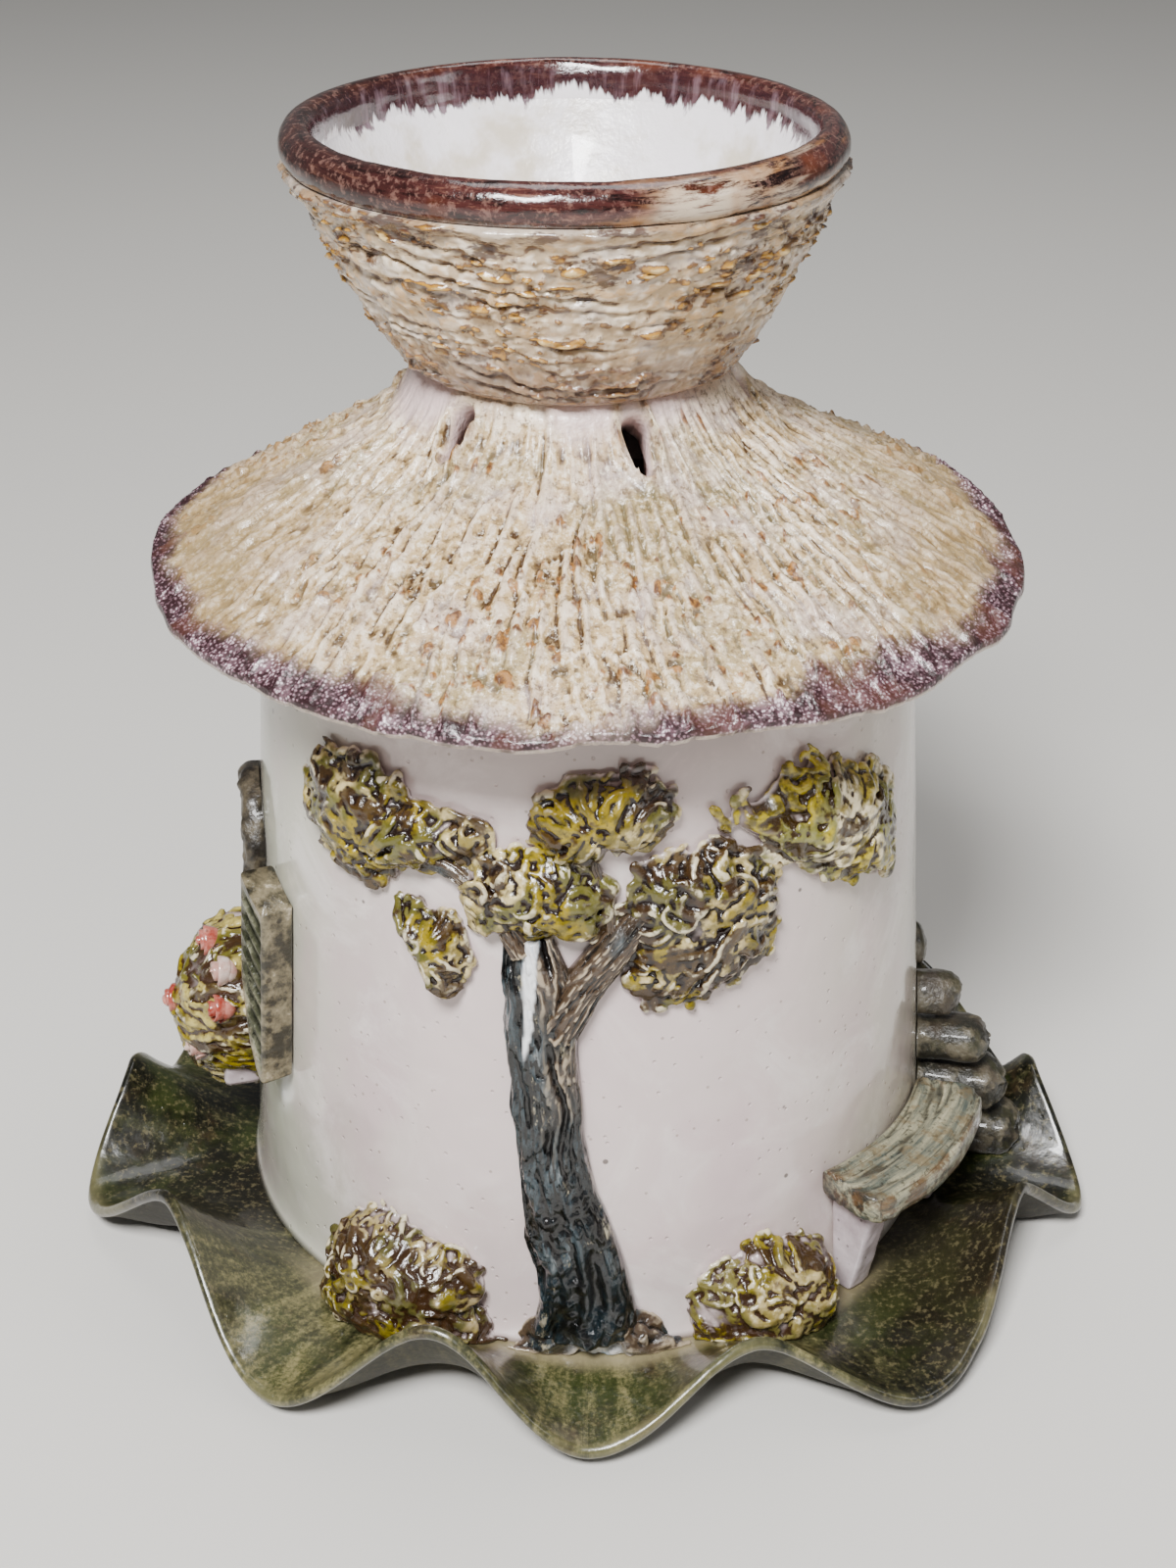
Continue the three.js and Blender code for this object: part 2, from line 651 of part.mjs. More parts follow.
const cup = () => turned([
  [0, floorThickness], [cupRadius, floorThickness], [cupRadius, floorThickness + cupHeight],
  [cupRadius - cupSheet, floorThickness + cupHeight], [cupRadius - cupSheet, floorThickness + cupSheet],
  [0, floorThickness + cupSheet],
], 30);

const cupFloor = floorThickness + cupSheet;
const waxTop = cupFloor + waxDepth;

// Cake of wax with room underneath for the wick's tab and its neck
const wax = () => {
  const tabRoom = cupFloor + tabThickness + waxPlay;
  const neckRoom = cupFloor + tabNeckHeight + waxPlay;
  const radius = cupRadius - cupSheet - waxPlay;
  return turned([
    [tabRadius + waxPlay, cupFloor], [radius, cupFloor], [radius, waxTop], [wickRadius + waxPlay, waxTop],
    [wickRadius + waxPlay, neckRoom], [tabNeckRadius + waxPlay, neckRoom],
    [tabNeckRadius + waxPlay, tabRoom], [tabRadius + waxPlay, tabRoom], [tabRadius + waxPlay, cupFloor],
  ], 24);
};

const wickTab = () => turned([
  [0, cupFloor], [tabRadius, cupFloor], [tabRadius, cupFloor + tabThickness],
  [tabNeckRadius, cupFloor + tabThickness], [tabNeckRadius, cupFloor + tabNeckHeight],
  [0, cupFloor + tabNeckHeight],
], 14);

const wick = () => turned([
  [0, cupFloor + tabNeckHeight], [wickRadius, cupFloor + tabNeckHeight],
  [wickRadius, waxTop + wickRise], [0, waxTop + wickRise],
], 8);

// Finishes: colour, roughness and metalness
const finish = (color, roughness, metalness = 0) => ({ color, roughness, metalness });
const finishes = {
  whiteGlaze: finish(0xcdc3c6, 0.2),
  greenGlaze: finish(0x565c40, 0.25),
  thatchGlaze: finish(0xc4b79c, 0.4),
  bowlGlaze: finish(0xc9b48a, 0.4),
  rimGlaze: finish(0x4e3135, 0.2),
  barkGlaze: finish(0x2b3843, 0.3),
  leafGlaze: finish(0x8f8148, 0.4),
  stoneGlaze: finish(0x6c6a66, 0.35),
  benchGlaze: finish(0xa6a38c, 0.4),
  shutterGlaze: finish(0x6b6a56, 0.4),
  roseGlaze: finish(0xb8685e, 0.3),
  foil: finish(0xc8c8cc, 0.3, 1),
  wax: finish(0xf1ede2, 0.5),
  cotton: finish(0xe6dfcf, 0.9),
};

const group = new THREE.Group();
const addPiece = (name, geometry, look) => {
  const mesh = new THREE.Mesh(geometry, new THREE.MeshStandardMaterial(finishes[look]));
  mesh.name = name;
  group.add(mesh);
};

const baseWithSeam = baseSaucer(seam, 4 * floorThickness);
addPiece('base_saucer', baseSaucer(), 'greenGlaze');
addPiece('wall', wall(), 'whiteGlaze');

addPiece('tree_trunk', carve(trunk(0), [baseWithSeam]), 'barkGlaze');
const woodWithSeam = [trunk(seam)];
const grownLimbs = limbs(seam);
for (const [name, geometry] of Object.entries(limbs(0))) {
  addPiece(name, carve(geometry, woodWithSeam), 'barkGlaze');
  woodWithSeam.push(grownLimbs[name]);
}
addPiece('tree_roots', carve(clump('tree_roots', rootsReach), [baseWithSeam, trunk(seam)]), 'barkGlaze');

const leavesWithSeam = [];
for (const name of Object.keys(foliageOutlines)) {
  addPiece(name, carve(foliage(name, 0), [...woodWithSeam, ...leavesWithSeam]), 'leafGlaze');
  leavesWithSeam.push(foliage(name, seam));
}
const rootsWithSeam = clump('tree_roots', rootsReach, seam);
addPiece('bush_left', carve(clump('bush_left', bushReach), [baseWithSeam, rootsWithSeam]), 'leafGlaze');

addPiece('bench_seat', benchSeat(), 'benchGlaze');
addPiece('bench_leg_front', benchLeg(frontLeg, 0, baseWithSeam), 'whiteGlaze');
addPiece('bench_leg_back', benchLeg(backLeg, 0, baseWithSeam), 'whiteGlaze');
addPiece(
  'bush_right',
  carve(clump('bush_right', bushReach), [baseWithSeam, rootsWithSeam, benchLeg(frontLeg, seam, baseWithSeam)]),
  'leafGlaze',
);

doorStones(baseWithSeam).forEach((geometry, k) => addPiece(`door_stone_${k + 1}`, geometry, 'stoneGlaze'));

addPiece('window_hood', windowHood(), 'stoneGlaze');
addPiece('shutter_near', shutter(1), 'shutterGlaze');
addPiece('shutter_far', shutter(-1), 'shutterGlaze');
addPiece('flower_box', flowerBox(), 'whiteGlaze');
addPiece('rose_bush', roseBush(), 'leafGlaze');
roseSpots.forEach((spot, k) => addPiece(`rose_${k + 1}`, rose(spot), 'roseGlaze'));

addPiece('thatch_roof', thatchRoof(), 'thatchGlaze');
addPiece('roof_locating_ring', locatingRing(), 'whiteGlaze');
addPiece('bowl', bowl(), 'bowlGlaze');
addPiece('bowl_rim', bowlRim(), 'rimGlaze');

addPiece('tea_light_cup', cup(), 'foil');
addPiece('tea_light_wax', wax(), 'wax');
addPiece('wick_tab', wickTab(), 'foil');
addPiece('wick', wick(), 'cotton');

export default group;
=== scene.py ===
import bpy
import mathutils
import numpy as np
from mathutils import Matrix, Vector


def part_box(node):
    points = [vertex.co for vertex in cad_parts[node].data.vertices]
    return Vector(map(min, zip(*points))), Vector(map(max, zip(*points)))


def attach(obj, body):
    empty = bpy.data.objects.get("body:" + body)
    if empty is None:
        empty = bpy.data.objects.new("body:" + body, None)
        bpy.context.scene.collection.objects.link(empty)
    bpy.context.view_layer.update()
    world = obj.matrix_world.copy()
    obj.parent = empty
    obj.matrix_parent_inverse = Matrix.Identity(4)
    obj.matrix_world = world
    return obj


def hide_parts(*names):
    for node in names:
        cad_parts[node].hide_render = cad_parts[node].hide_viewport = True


# House tea light holder. Shapes are worked out in millimetres in the frame of the solids and
# become metres when a mesh is made. Azimuths are degrees round the house from the front, -Y,
# positive towards +X. Heights on the wall count from the top of the floor slab, and a reach
# counts outwards from the wall's surface.
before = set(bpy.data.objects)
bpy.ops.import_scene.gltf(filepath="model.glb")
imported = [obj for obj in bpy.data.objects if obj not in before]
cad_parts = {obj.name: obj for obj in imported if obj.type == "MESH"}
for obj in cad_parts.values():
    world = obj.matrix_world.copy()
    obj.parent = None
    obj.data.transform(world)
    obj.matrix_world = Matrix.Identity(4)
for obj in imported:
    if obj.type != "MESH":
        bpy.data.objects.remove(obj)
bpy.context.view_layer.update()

house = dict(floorTop=5.0, wallFoot=63.2, wallTop=54.6, wallHeight=125.0, wallThickness=5.0,
             roofSeat=130.0, eaveTop=126.0, neckTop=159.0, rimSeat=191.0,
             neckShift=-2.4, rimShift=-3.6, seam=0.3)


# noise

# random value from -1 to 1 at each whole-number point of a lattice, the same on every run
def latticeValue(ix, iy, iz, seed):
    h = (ix * 374761393 + iy * 668265263 + iz * 144269504 + seed * 97471117) & 0xffffffff
    h = ((h ^ (h >> 13)) * 1274126177) & 0xffffffff
    h = ((h ^ (h >> 16)) * 668265263) & 0xffffffff
    return ((h >> 8) & 0xffff) / 32767.5 - 1.0


# lattice values blended by smooth steps; u wraps after wrap cells
def softNoise(u, v, w=0.0, seed=1, wrap=None):
    u, v, w = np.broadcast_arrays(np.asarray(u, float), np.asarray(v, float), np.asarray(w, float))
    iu, iv, iw = (np.floor(a).astype(np.int64) for a in (u, v, w))
    su, sv, sw = (f * f * (3 - 2 * f) for f in (u - iu, v - iv, w - iw))
    total = np.zeros(u.shape)
    for du, dv, dw in np.ndindex(2, 2, 2):
        cu = (iu + du) % wrap if wrap else iu + du
        weight = (su if du else 1 - su) * (sv if dv else 1 - sv) * (sw if dw else 1 - sw)
        total += weight * latticeValue(cu, iv + dv, iw + dw, seed)
    return total


# sum of soft noises, each twice as fine and half as strong as the one before
def fractal(u, v, w=0.0, seed=1, wrap=None, octaves=3):
    total, strength = 0.0, 1.0
    for k in range(octaves):
        f = 2 ** k
        total = total + strength * softNoise(u * f, v * f, w * f, seed + 31 * k, wrap * f if wrap else None)
        strength *= 0.5
    return total / 1.75


# soft noise with so many cells round a whole turn, which is 0 to 1
def ringNoise(turn, cells, v, seed):
    return softNoise(turn * cells, v, 0, seed, cells)


# fractal noise with so many cells round a whole turn
def ringFractal(turn, cells, v, seed):
    return fractal(turn * cells, v, 0, seed, cells)


# fractal over places, its broadest lumps about size millimetres across
def cloud(points, size, seed, octaves=3):
    p = points / size
    return fractal(p[..., 0], p[..., 1], p[..., 2], seed, None, octaves)


# rounded crumbs, at most one in each lattice cell and off its middle; 0 to 1 over the surface
def crumbs(u, v, share, seed, wrap=None, small=0.25, large=0.6):
    iu, iv = np.floor(u).astype(np.int64), np.floor(v).astype(np.int64)
    best = np.zeros(np.broadcast(u, v).shape)
    for du, dv in np.ndindex(3, 3):
        cu, cv = iu + du - 1, iv + dv - 1
        key = cu % wrap if wrap else cu
        x = cu + 0.5 + 0.4 * latticeValue(key, cv, 1, seed)
        y = cv + 0.5 + 0.4 * latticeValue(key, cv, 2, seed)
        size = small + (large - small) * (0.5 + 0.5 * latticeValue(key, cv, 3, seed))
        here = latticeValue(key, cv, 4, seed) < 2 * share - 1
        cap = np.clip(1 - ((u - x) ** 2 + (v - y) ** 2) / size ** 2, 0, 1) ** 0.6
        best = np.maximum(best, np.where(here, cap, 0))
    return best


# 0 up to low, 1 from high on, and between them three squares less two cubes of the share
def smoothStep(value, low, high):
    t = np.clip((value - low) / (high - low), 0, 1)
    return t * t * (3 - 2 * t)


# bell curve: e to minus the square of the distance from the middle, counted in widths
def bell(value, middle, width):
    return np.exp(-((value - middle) / width) ** 2)


# azimuths in degrees of evenly spaced columns
def ringOf(columns):
    return 360 * np.arange(columns) / columns


# evenly spaced angles of a full circle, in radians
def circle(count):
    return 2 * np.pi * np.arange(count) / count


# places on the house

# X is the radius times the sine of the azimuth and Y is minus the radius times its cosine
def polar(azimuth, radius, z):
    a = np.radians(azimuth)
    return np.stack(np.broadcast_arrays(radius * np.sin(a), -radius * np.cos(a), z), -1)


# unit vectors at an azimuth: out of the wall, across it and up
def axesAt(azimuth):
    a = np.radians(azimuth)
    return np.array([np.sin(a), -np.cos(a), 0]), np.array([np.cos(a), np.sin(a), 0]), np.array([0, 0, 1.0])


# cosine of the angle between an azimuth and the front
def frontness(azimuth):
    return np.cos(np.radians(azimuth))


# straight slope from the wall's foot to its top
def wallRadius(height):
    return house["wallFoot"] + (house["wallTop"] - house["wallFoot"]) * height / house["wallHeight"]


# place that stands out of the wall's surface by a reach
def onWall(azimuth, height, reach):
    return polar(azimuth, wallRadius(height) + reach, house["floorTop"] + height)


# millimetres along the wall in one degree, halfway up
mmPerDegree = np.radians((house["wallFoot"] + house["wallTop"]) / 2)


# angle of a place round the house, the arc tangent of X over minus Y
def azimuthOf(points):
    return np.degrees(np.arctan2(points[..., 0], -points[..., 1]))


# sideways drift of the hand-built top at a height over the table
def leanAt(z):
    overWall = np.clip((z - house["roofSeat"]) / (house["neckTop"] - house["roofSeat"]), 0, 1)
    overNeck = np.maximum(0, (z - house["neckTop"]) / (house["rimSeat"] - house["neckTop"]))
    return house["neckShift"] * overWall + (house["rimShift"] - house["neckShift"]) * overNeck


# the same points after the drift at their height
def leaned(points):
    moved = points.copy()
    moved[..., 0] += leanAt(points[..., 2])
    return moved


# horizontal unit vector from the house's axis through each point
def outwardOf(points):
    level = points * [1, 1, 0]
    return level / np.linalg.norm(level, axis=-1, keepdims=True)


# pushes points out to stay clear of the wall
def clearOfWall(points, gap):
    radius = np.hypot(points[..., 0], points[..., 1])
    least = wallRadius(points[..., 2] - house["floorTop"]) + gap
    grow = np.maximum(1, least / np.maximum(radius, 1e-6))
    out = points.copy()
    out[..., :2] *= grow[..., None]
    return out


# meshes

# quads between neighbouring rows of points, each row closed into a ring
def gridFaces(rows, columns, wrapRows=False):
    r = np.arange(rows if wrapRows else rows - 1)[:, None]
    c = np.arange(columns)[None, :]
    r2, c2 = (r + 1) % rows, (c + 1) % columns
    corners = (r * columns + c, r * columns + c2, r2 * columns + c2, r2 * columns + c)
    return np.stack(np.broadcast_arrays(*corners), -1).reshape(-1, 4)


# sum over quads of the six-fold volumes they span with the points' middle, divided by six;
# below zero when the quads face inwards
def signedVolume(points, quads):
    a, b, c, d = (points[quads[:, k]] - points.mean(0) for k in range(4))
    return (np.einsum("ij,ij->i", a, np.cross(b, c)) + np.einsum("ij,ij->i", a, np.cross(c, d))).sum() / 6


# many bars at once, each a rounded section carried along its path of (bars, steps, 3) points
def sweptBars(paths, ups, halfWidths, halfHeights, power=2.0, sides=8, swell=1.0):
    along = np.gradient(paths, axis=1)
    along /= np.linalg.norm(along, axis=-1, keepdims=True) + 1e-9
    side = np.cross(along, ups)
    side /= np.linalg.norm(side, axis=-1, keepdims=True) + 1e-9
    up = np.cross(side, along)
    angle = circle(sides)
    c, s = np.cos(angle), np.sin(angle)
    across = np.sign(c) * np.abs(c) ** (2 / power)
    lift = np.sign(s) * np.abs(s) ** (2 / power)
    wide = (halfWidths[..., None] * across * swell)[..., None] * side[..., None, :]
    high = (halfHeights[..., None] * lift * swell)[..., None] * up[..., None, :]
    return paths[..., None, :] + wide + high


# one mesh out of rings of (bars, steps, sides, 3) points, with a middle point on each end
def barMesh(rings):
    bars, steps, sides = rings.shape[:3]
    ends = np.stack([rings[:, 0].mean(1), rings[:, -1].mean(1)], 1)
    points = np.concatenate([rings.reshape(bars, -1, 3), ends], 1)
    quads = gridFaces(steps, sides)
    c = np.arange(sides)
    n = (c + 1) % sides
    last, middle = (steps - 1) * sides, steps * sides
    triangles = np.vstack([np.stack([np.full(sides, middle), n, c], -1),
                           np.stack([np.full(sides, middle + 1), last + c, last + n], -1)])
    if signedVolume(points[0], quads) < 0:
        quads, triangles = quads[:, ::-1], triangles[:, ::-1]
    start = (np.arange(bars) * points.shape[1])[:, None, None]
    return points.reshape(-1, 3), (quads + start).reshape(-1, 4), (triangles + start).reshape(-1, 3)


# closed surface over rows of points, capped like a single bar, or with its last row joined to its first
def surface(rows, wrapRows=False):
    if not wrapRows:
        return barMesh(rows[None])
    points, quads = rows.reshape(-1, 3), gridFaces(*rows.shape[:2], True)
    if signedVolume(points, quads) < 0:
        quads = quads[:, ::-1]
    return points, quads, np.zeros((0, 3), int)


# several shapes as one, the vertex numbers of each moved on past those before it
def joined(parts):
    points, quads, triangles, start = [], [], [], 0
    for p, q, t in parts:
        points.append(p)
        quads.append(q + start)
        triangles.append(t + start)
        start += len(p)
    return np.vstack(points), np.vstack(quads), np.vstack(triangles)


# one number per vertex under a name that a material reads, with the numbers of the cap points last
def setMask(piece, name, values, caps=()):
    stored = piece.data.attributes.new(name, "FLOAT", "POINT")
    stored.data.foreach_set("value", np.append(values, caps).astype(np.float32))


# three numbers per vertex that follow the strokes of a glaze, with zeros for the cap points
def setFlow(piece, parts, caps=0):
    values = np.stack(np.broadcast_arrays(*parts), -1).reshape(-1, 3)
    stored = piece.data.attributes.new("flow", "FLOAT_VECTOR", "POINT")
    stored.data.foreach_set("vector", np.vstack([values, np.zeros((caps, 3))]).astype(np.float32).ravel())


# object in the scene for some data
def newObject(name, data):
    made = bpy.data.objects.new(name, data)
    bpy.context.scene.collection.objects.link(made)
    return made


# smooth-shaded mesh object; a shape is its points in millimetres, its quads and its triangles
def newMesh(name, shape):
    points, quads, triangles = shape
    mesh = bpy.data.meshes.new(name)
    mesh.from_pydata((points / 1000).tolist(), [], quads.tolist() + triangles.tolist())
    mesh.polygons.foreach_set("use_smooth", np.ones(len(mesh.polygons), bool))
    mesh.update()
    return newObject(name, mesh)


# gives a piece its material, the body it rides on, its slot and the nodes it takes the place of
def settle(piece, body, material, nodes):
    piece.data.materials.clear()
    piece.data.materials.append(material)
    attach(piece, body)
    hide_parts(*nodes)


# a new mesh object, settled
def addPiece(name, shape, body, material, nodes):
    piece = newMesh(name, shape)
    settle(piece, body, material, nodes)
    return piece


# makes the result of a piece's modifiers its mesh
def applyModifiers(piece):
    bpy.context.view_layer.update()
    evaluated = piece.evaluated_get(bpy.context.evaluated_depsgraph_get())
    mesh = bpy.data.meshes.new_from_object(evaluated)
    piece.modifiers.clear()
    piece.data = mesh


# cuts blocks out of a piece and applies the cut
def cutOut(piece, cutters):
    for cutter in cutters:
        cut = piece.modifiers.new("cut", "BOOLEAN")
        cut.operation, cut.solver, cut.object = "DIFFERENCE", "EXACT", cutter
    applyModifiers(piece)
    for cutter in cutters:
        bpy.data.objects.remove(cutter)


# numbers of all the items of a mesh, one row for each item
def numbersOf(items, name, width, kind=np.float32):
    flat = np.empty(width * len(items), kind)
    items.foreach_get(name, flat)
    return flat.reshape(-1, width)


# places of a piece's vertices, in millimetres
def pointsOf(piece):
    return numbersOf(piece.data.vertices, "co", 3).astype(float) * 1000


# the two vertex numbers of each of a piece's edges
def edgesOf(piece):
    return numbersOf(piece.data.edges, "vertices", 2, np.int32)


# mean place of each vertex's neighbours, taken a number of rounds
def neighbourMean(values, edges, rounds):
    both = np.concatenate([edges, edges[:, ::-1]])
    count = np.maximum(np.bincount(both[:, 0], minlength=len(values)), 1)
    for _ in range(rounds):
        values = np.stack([np.bincount(both[:, 0], values[both[:, 1], k], len(values)) / count
                           for k in range(values.shape[1])], -1)
    return values


# how far each vertex stands out of the surface round it, in millimetres, negative in a hollow
def standing(piece, rounds=5):
    points = pointsOf(piece)
    around = neighbourMean(points, edgesOf(piece), rounds)
    return ((points - around) * numbersOf(piece.data.vertices, "normal", 3)).sum(1)


# melts overlapping parts into one skin of even faces and softens it, as thick glaze does
def fuse(piece, faceSize, rounds=1):
    skin = piece.modifiers.new("skin", "REMESH")
    skin.mode, skin.voxel_size, skin.use_smooth_shade = "VOXEL", faceSize / 1000, True
    applyModifiers(piece)
    points, edges = pointsOf(piece), edgesOf(piece)
    for _ in range(rounds):
        points += 0.5 * (neighbourMean(points, edges, 1) - points)
    piece.data.vertices.foreach_set("co", (points / 1000).ravel())
    piece.data.update()


# smooth curve through stations, with the same number of steps between each two
def smoothPath(stations, count):
    p = np.array(stations, float)
    p = np.vstack([2 * p[0] - p[1], p, 2 * p[-1] - p[-2]])
    t = np.linspace(0, len(p) - 3 - 1e-9, count)
    k = t.astype(int)
    f = (t - k)[:, None]
    a, b, c, d = p[k], p[k + 1], p[k + 2], p[k + 3]
    bent, twisted = 2 * a - 5 * b + 4 * c - d, 3 * b - a - 3 * c + d
    return 0.5 * (2 * b + (c - a) * f + bent * f ** 2 + twisted * f ** 3)


# nodes

# colour as the photograph shows it, deepened because soft light washes dark glaze out: moved away
# from grey by a third, then dimmed by the fourth root of its own light, so that its hue stays
def tone(hexCode):
    s = np.array([int(hexCode[k:k + 2], 16) for k in (0, 2, 4)]) / 255
    linear = np.where(s <= 0.04045, s / 12.92, ((s + 0.055) / 1.055) ** 2.4)
    grey = linear.mean()
    linear = np.clip(grey + (linear - grey) * 1.33, 0, 1) * grey ** 0.25
    return (*linear.tolist(), 1.0)


# the node tree, and the material, that the functions below work on
inHand = dict(tree=None, material=None)


# links a socket, or sets a value, where text stands for a colour
def plug(value, socket):
    if isinstance(value, bpy.types.NodeSocket):
        inHand["tree"].links.new(value, socket)
    else:
        socket.default_value = tone(value) if isinstance(value, str) else value


# node of a kind with its settings made and its inputs plugged
def addNode(kind, inputs=None, **settings):
    node = inHand["tree"].nodes.new(kind)
    for name, value in settings.items():
        setattr(node, name, value)
    for key, value in (inputs or {}).items():
        plug(value, node.inputs[key])
    return node


# colour a where the factor is 0, b where it is 1, and a straight mix between
def mixColor(factor, a, b):
    return addNode("ShaderNodeMix", {0: factor, 6: a, 7: b}, data_type="RGBA").outputs[2]


# one step of arithmetic on up to three values
def calc(operation, a, b=0.0, c=0.0):
    return addNode("ShaderNodeMath", {0: a, 1: b, 2: c}, operation=operation).outputs[0]


# product of two values
def times(a, b):
    return calc("MULTIPLY", a, b)


# product of two values and a third added
def timesPlus(a, b, c):
    return calc("MULTIPLY_ADD", a, b, c)


# toLow up to low, toHigh from high on, and a smooth step between
def ramp(value, low, high, toLow=0.0, toHigh=1.0):
    ends = {"Value": value, "From Min": low, "From Max": high, "To Min": toLow, "To Max": toHigh}
    return addNode("ShaderNodeMapRange", ends, interpolation_type="SMOOTHSTEP").outputs[0]


# a second colour laid over a base as a value goes from low to high, up to a share of it
def layer(base, value, low, high, over, share=1.0):
    return mixColor(ramp(value, low, high, 0.0, share), base, over)


# place on the object in metres, stretched when a scale is given
def objectPlace(stretch=None):
    place = addNode("ShaderNodeTexCoord").outputs["Object"]
    if stretch is None:
        return place
    return addNode("ShaderNodeMapping", {"Vector": place, "Scale": stretch}).outputs[0]


# one coordinate of a place: 0 is X, 1 is Y and 2 is Z
def axisOf(place, axis):
    return addNode("ShaderNodeSeparateXYZ", {0: place}).outputs[axis]


# fractal noise with so many lumps to the metre
def noiseOf(vector, perMetre, detail=3.0, roughness=0.55, distortion=0.0):
    look = {"Vector": vector, "Scale": perMetre, "Detail": detail, "Roughness": roughness,
            "Distortion": distortion}
    return addNode("ShaderNodeTexNoise", look).outputs[0]


# pattern of cells round scattered points
def cellsOf(place, perMetre):
    return addNode("ShaderNodeTexVoronoi", {"Vector": place, "Scale": perMetre}).outputs


# number that the mesh carries under a name
def maskOf(name):
    return addNode("ShaderNodeAttribute", attribute_name=name).outputs["Fac"]


# place along and across the strokes that the mesh carries
def flowOf():
    return addNode("ShaderNodeAttribute", attribute_name="flow").outputs["Vector"]


# empty node group; an input is a colour where its value is a tuple, and an output has its kind named
def newGroup(name, inputs, outputs):
    group = bpy.data.node_groups.new(name, "ShaderNodeTree")
    inHand["tree"] = group
    for label, value in inputs.items():
        kind = "NodeSocketColor" if isinstance(value, tuple) else "NodeSocketFloat"
        group.interface.new_socket(label, in_out="INPUT", socket_type=kind).default_value = value
    for label, kind in outputs.items():
        group.interface.new_socket(label, in_out="OUTPUT", socket_type="NodeSocket" + kind)
    return group, group.nodes.new("NodeGroupInput").outputs, group.nodes.new("NodeGroupOutput").inputs


# outputs of a group, with some of its inputs plugged
def useGroup(group, inputs):
    node = addNode("ShaderNodeGroup", node_tree=group)
    for key, value in inputs.items():
        plug(value, node.inputs[key])
    return node.outputs


# glaze runs thin and warm over raised clay and pools in the hollows
def makeGlazeBreak():
    white = (1, 1, 1, 1)
    inputs = {"Thin": white, "Full": white, "Pool": white, "Relief": 0.5, "Mottle": 0.25, "Per metre": 300.0}
    group, given, out = newGroup("glazeBreak", inputs, {"Color": "Color"})
    patchy = noiseOf(objectPlace(), given["Per metre"], 4.0, 0.6)
    patchy = calc("SUBTRACT", patchy, 0.5)
    shifted = timesPlus(patchy, given["Mottle"], given["Relief"])
    low = layer(given["Pool"], shifted, 0.12, 0.5, given["Full"])
    plug(layer(low, shifted, 0.6, 0.95, given["Thin"]), out["Color"])
    return group


# small round flecks in some of the cells of a pattern
def makeFlecks():
    group, given, out = newGroup("flecks", {"Per metre": 400.0, "Size": 0.25, "Share": 0.3},
                                 {"Mask": "Float"})
    cells = cellsOf(objectPlace(), given["Per metre"])
    dot = ramp(calc("DIVIDE", cells["Distance"], given["Size"]), 1.0, 0.6)
    pick = addNode("ShaderNodeSeparateColor", {"Color": cells["Color"]}).outputs[0]
    plug(times(dot, calc("LESS_THAN", pick, given["Share"])), out["Mask"])
    return group


# fine beads of glaze, 1 on a bead and 0 between beads
def makeBeads():
    group, given, out = newGroup("beads", {"Per metre": 1400.0}, {"Mask": "Float"})
    cells = cellsOf(objectPlace(), given["Per metre"])
    plug(ramp(cells["Distance"], 0.62, 0.2), out["Mask"])
    return group


# brushed glaze that hangs from the rim in streaks, 1 above its ragged lower edge
def makeDrips():
    group, given, out = newGroup("drips", {"Edge height": 0.1915, "Length": 0.006},
                                 {"Mask": "Float", "Streak": "Float"})
    height = axisOf(objectPlace(), 2)
    fine = noiseOf(objectPlace((1, 1, 0.07)), 430.0, 3.0, 0.65)
    broad = noiseOf(objectPlace((1, 1, 0.05)), 80.0, 2.0, 0.5)
    both = calc("ADD", timesPlus(fine, 1.5, -0.75), timesPlus(broad, 1.2, -0.6))
    hung = timesPlus(both, given["Length"], height)
    over = calc("SUBTRACT", hung, given["Edge height"])
    plug(ramp(over, -0.0005, 0.0007), out["Mask"])
    plug(fine, out["Streak"])
    return group


# soft waviness of a thick glaze, with pinholes
def makeGlazeSkin():
    group, given, out = newGroup("glazeSkin", {"Wave": 0.3, "Per metre": 250.0, "Pits": 0.0, "Grit": 0.0},
                                 {"Normal": "Vector"})
    place = objectPlace()
    wave = noiseOf(place, given["Per metre"], 2.0, 0.45)
    grit = noiseOf(place, 1400.0, 3.0, 0.6)
    pit = ramp(cellsOf(place, 330.0)["Distance"], 0.05, 0.13, -1.0, 0.0)
    height = timesPlus(wave, given["Wave"], times(pit, given["Pits"]))
    height = timesPlus(grit, given["Grit"], height)
    bump = addNode("ShaderNodeBump", {"Height": height, "Strength": 0.6, "Distance": 0.001})
    plug(bump.outputs[0], out["Normal"])
    return group


glazeBreak, flecks, beads = makeGlazeBreak(), makeFlecks(), makeBeads()
drips, glazeSkin = makeDrips(), makeGlazeSkin()


# colour of a glaze that breaks over relief; see glazeBreak
def brokenGlaze(thin, full, pool, relief, mottle, perMetre):
    return useGroup(glazeBreak, {"Thin": thin, "Full": full, "Pool": pool, "Relief": relief,
                                 "Mottle": mottle, "Per metre": perMetre})[0]


# mask of round flecks; see flecks
def specks(perMetre, size, share):
    return useGroup(flecks, {"Per metre": perMetre, "Size": size, "Share": share})[0]


# inputs of the shader of the material in hand
def shaderInputs():
    return next(n for n in inHand["tree"].nodes if n.type == "BSDF_PRINCIPLED").inputs


# takes a new material in hand and gives its shader's inputs, with the roughness and coat set
def newMaterial(name, roughness, coat, metallic=0.0):
    material = bpy.data.materials.new(name)
    material.use_nodes = True
    inHand.update(material=material, tree=material.node_tree)
    shader = shaderInputs()
    given = {"Roughness": roughness, "Coat Weight": coat, "Coat Roughness": 0.05, "Metallic": metallic}
    for key, value in given.items():
        shader[key].default_value = value
    return shader


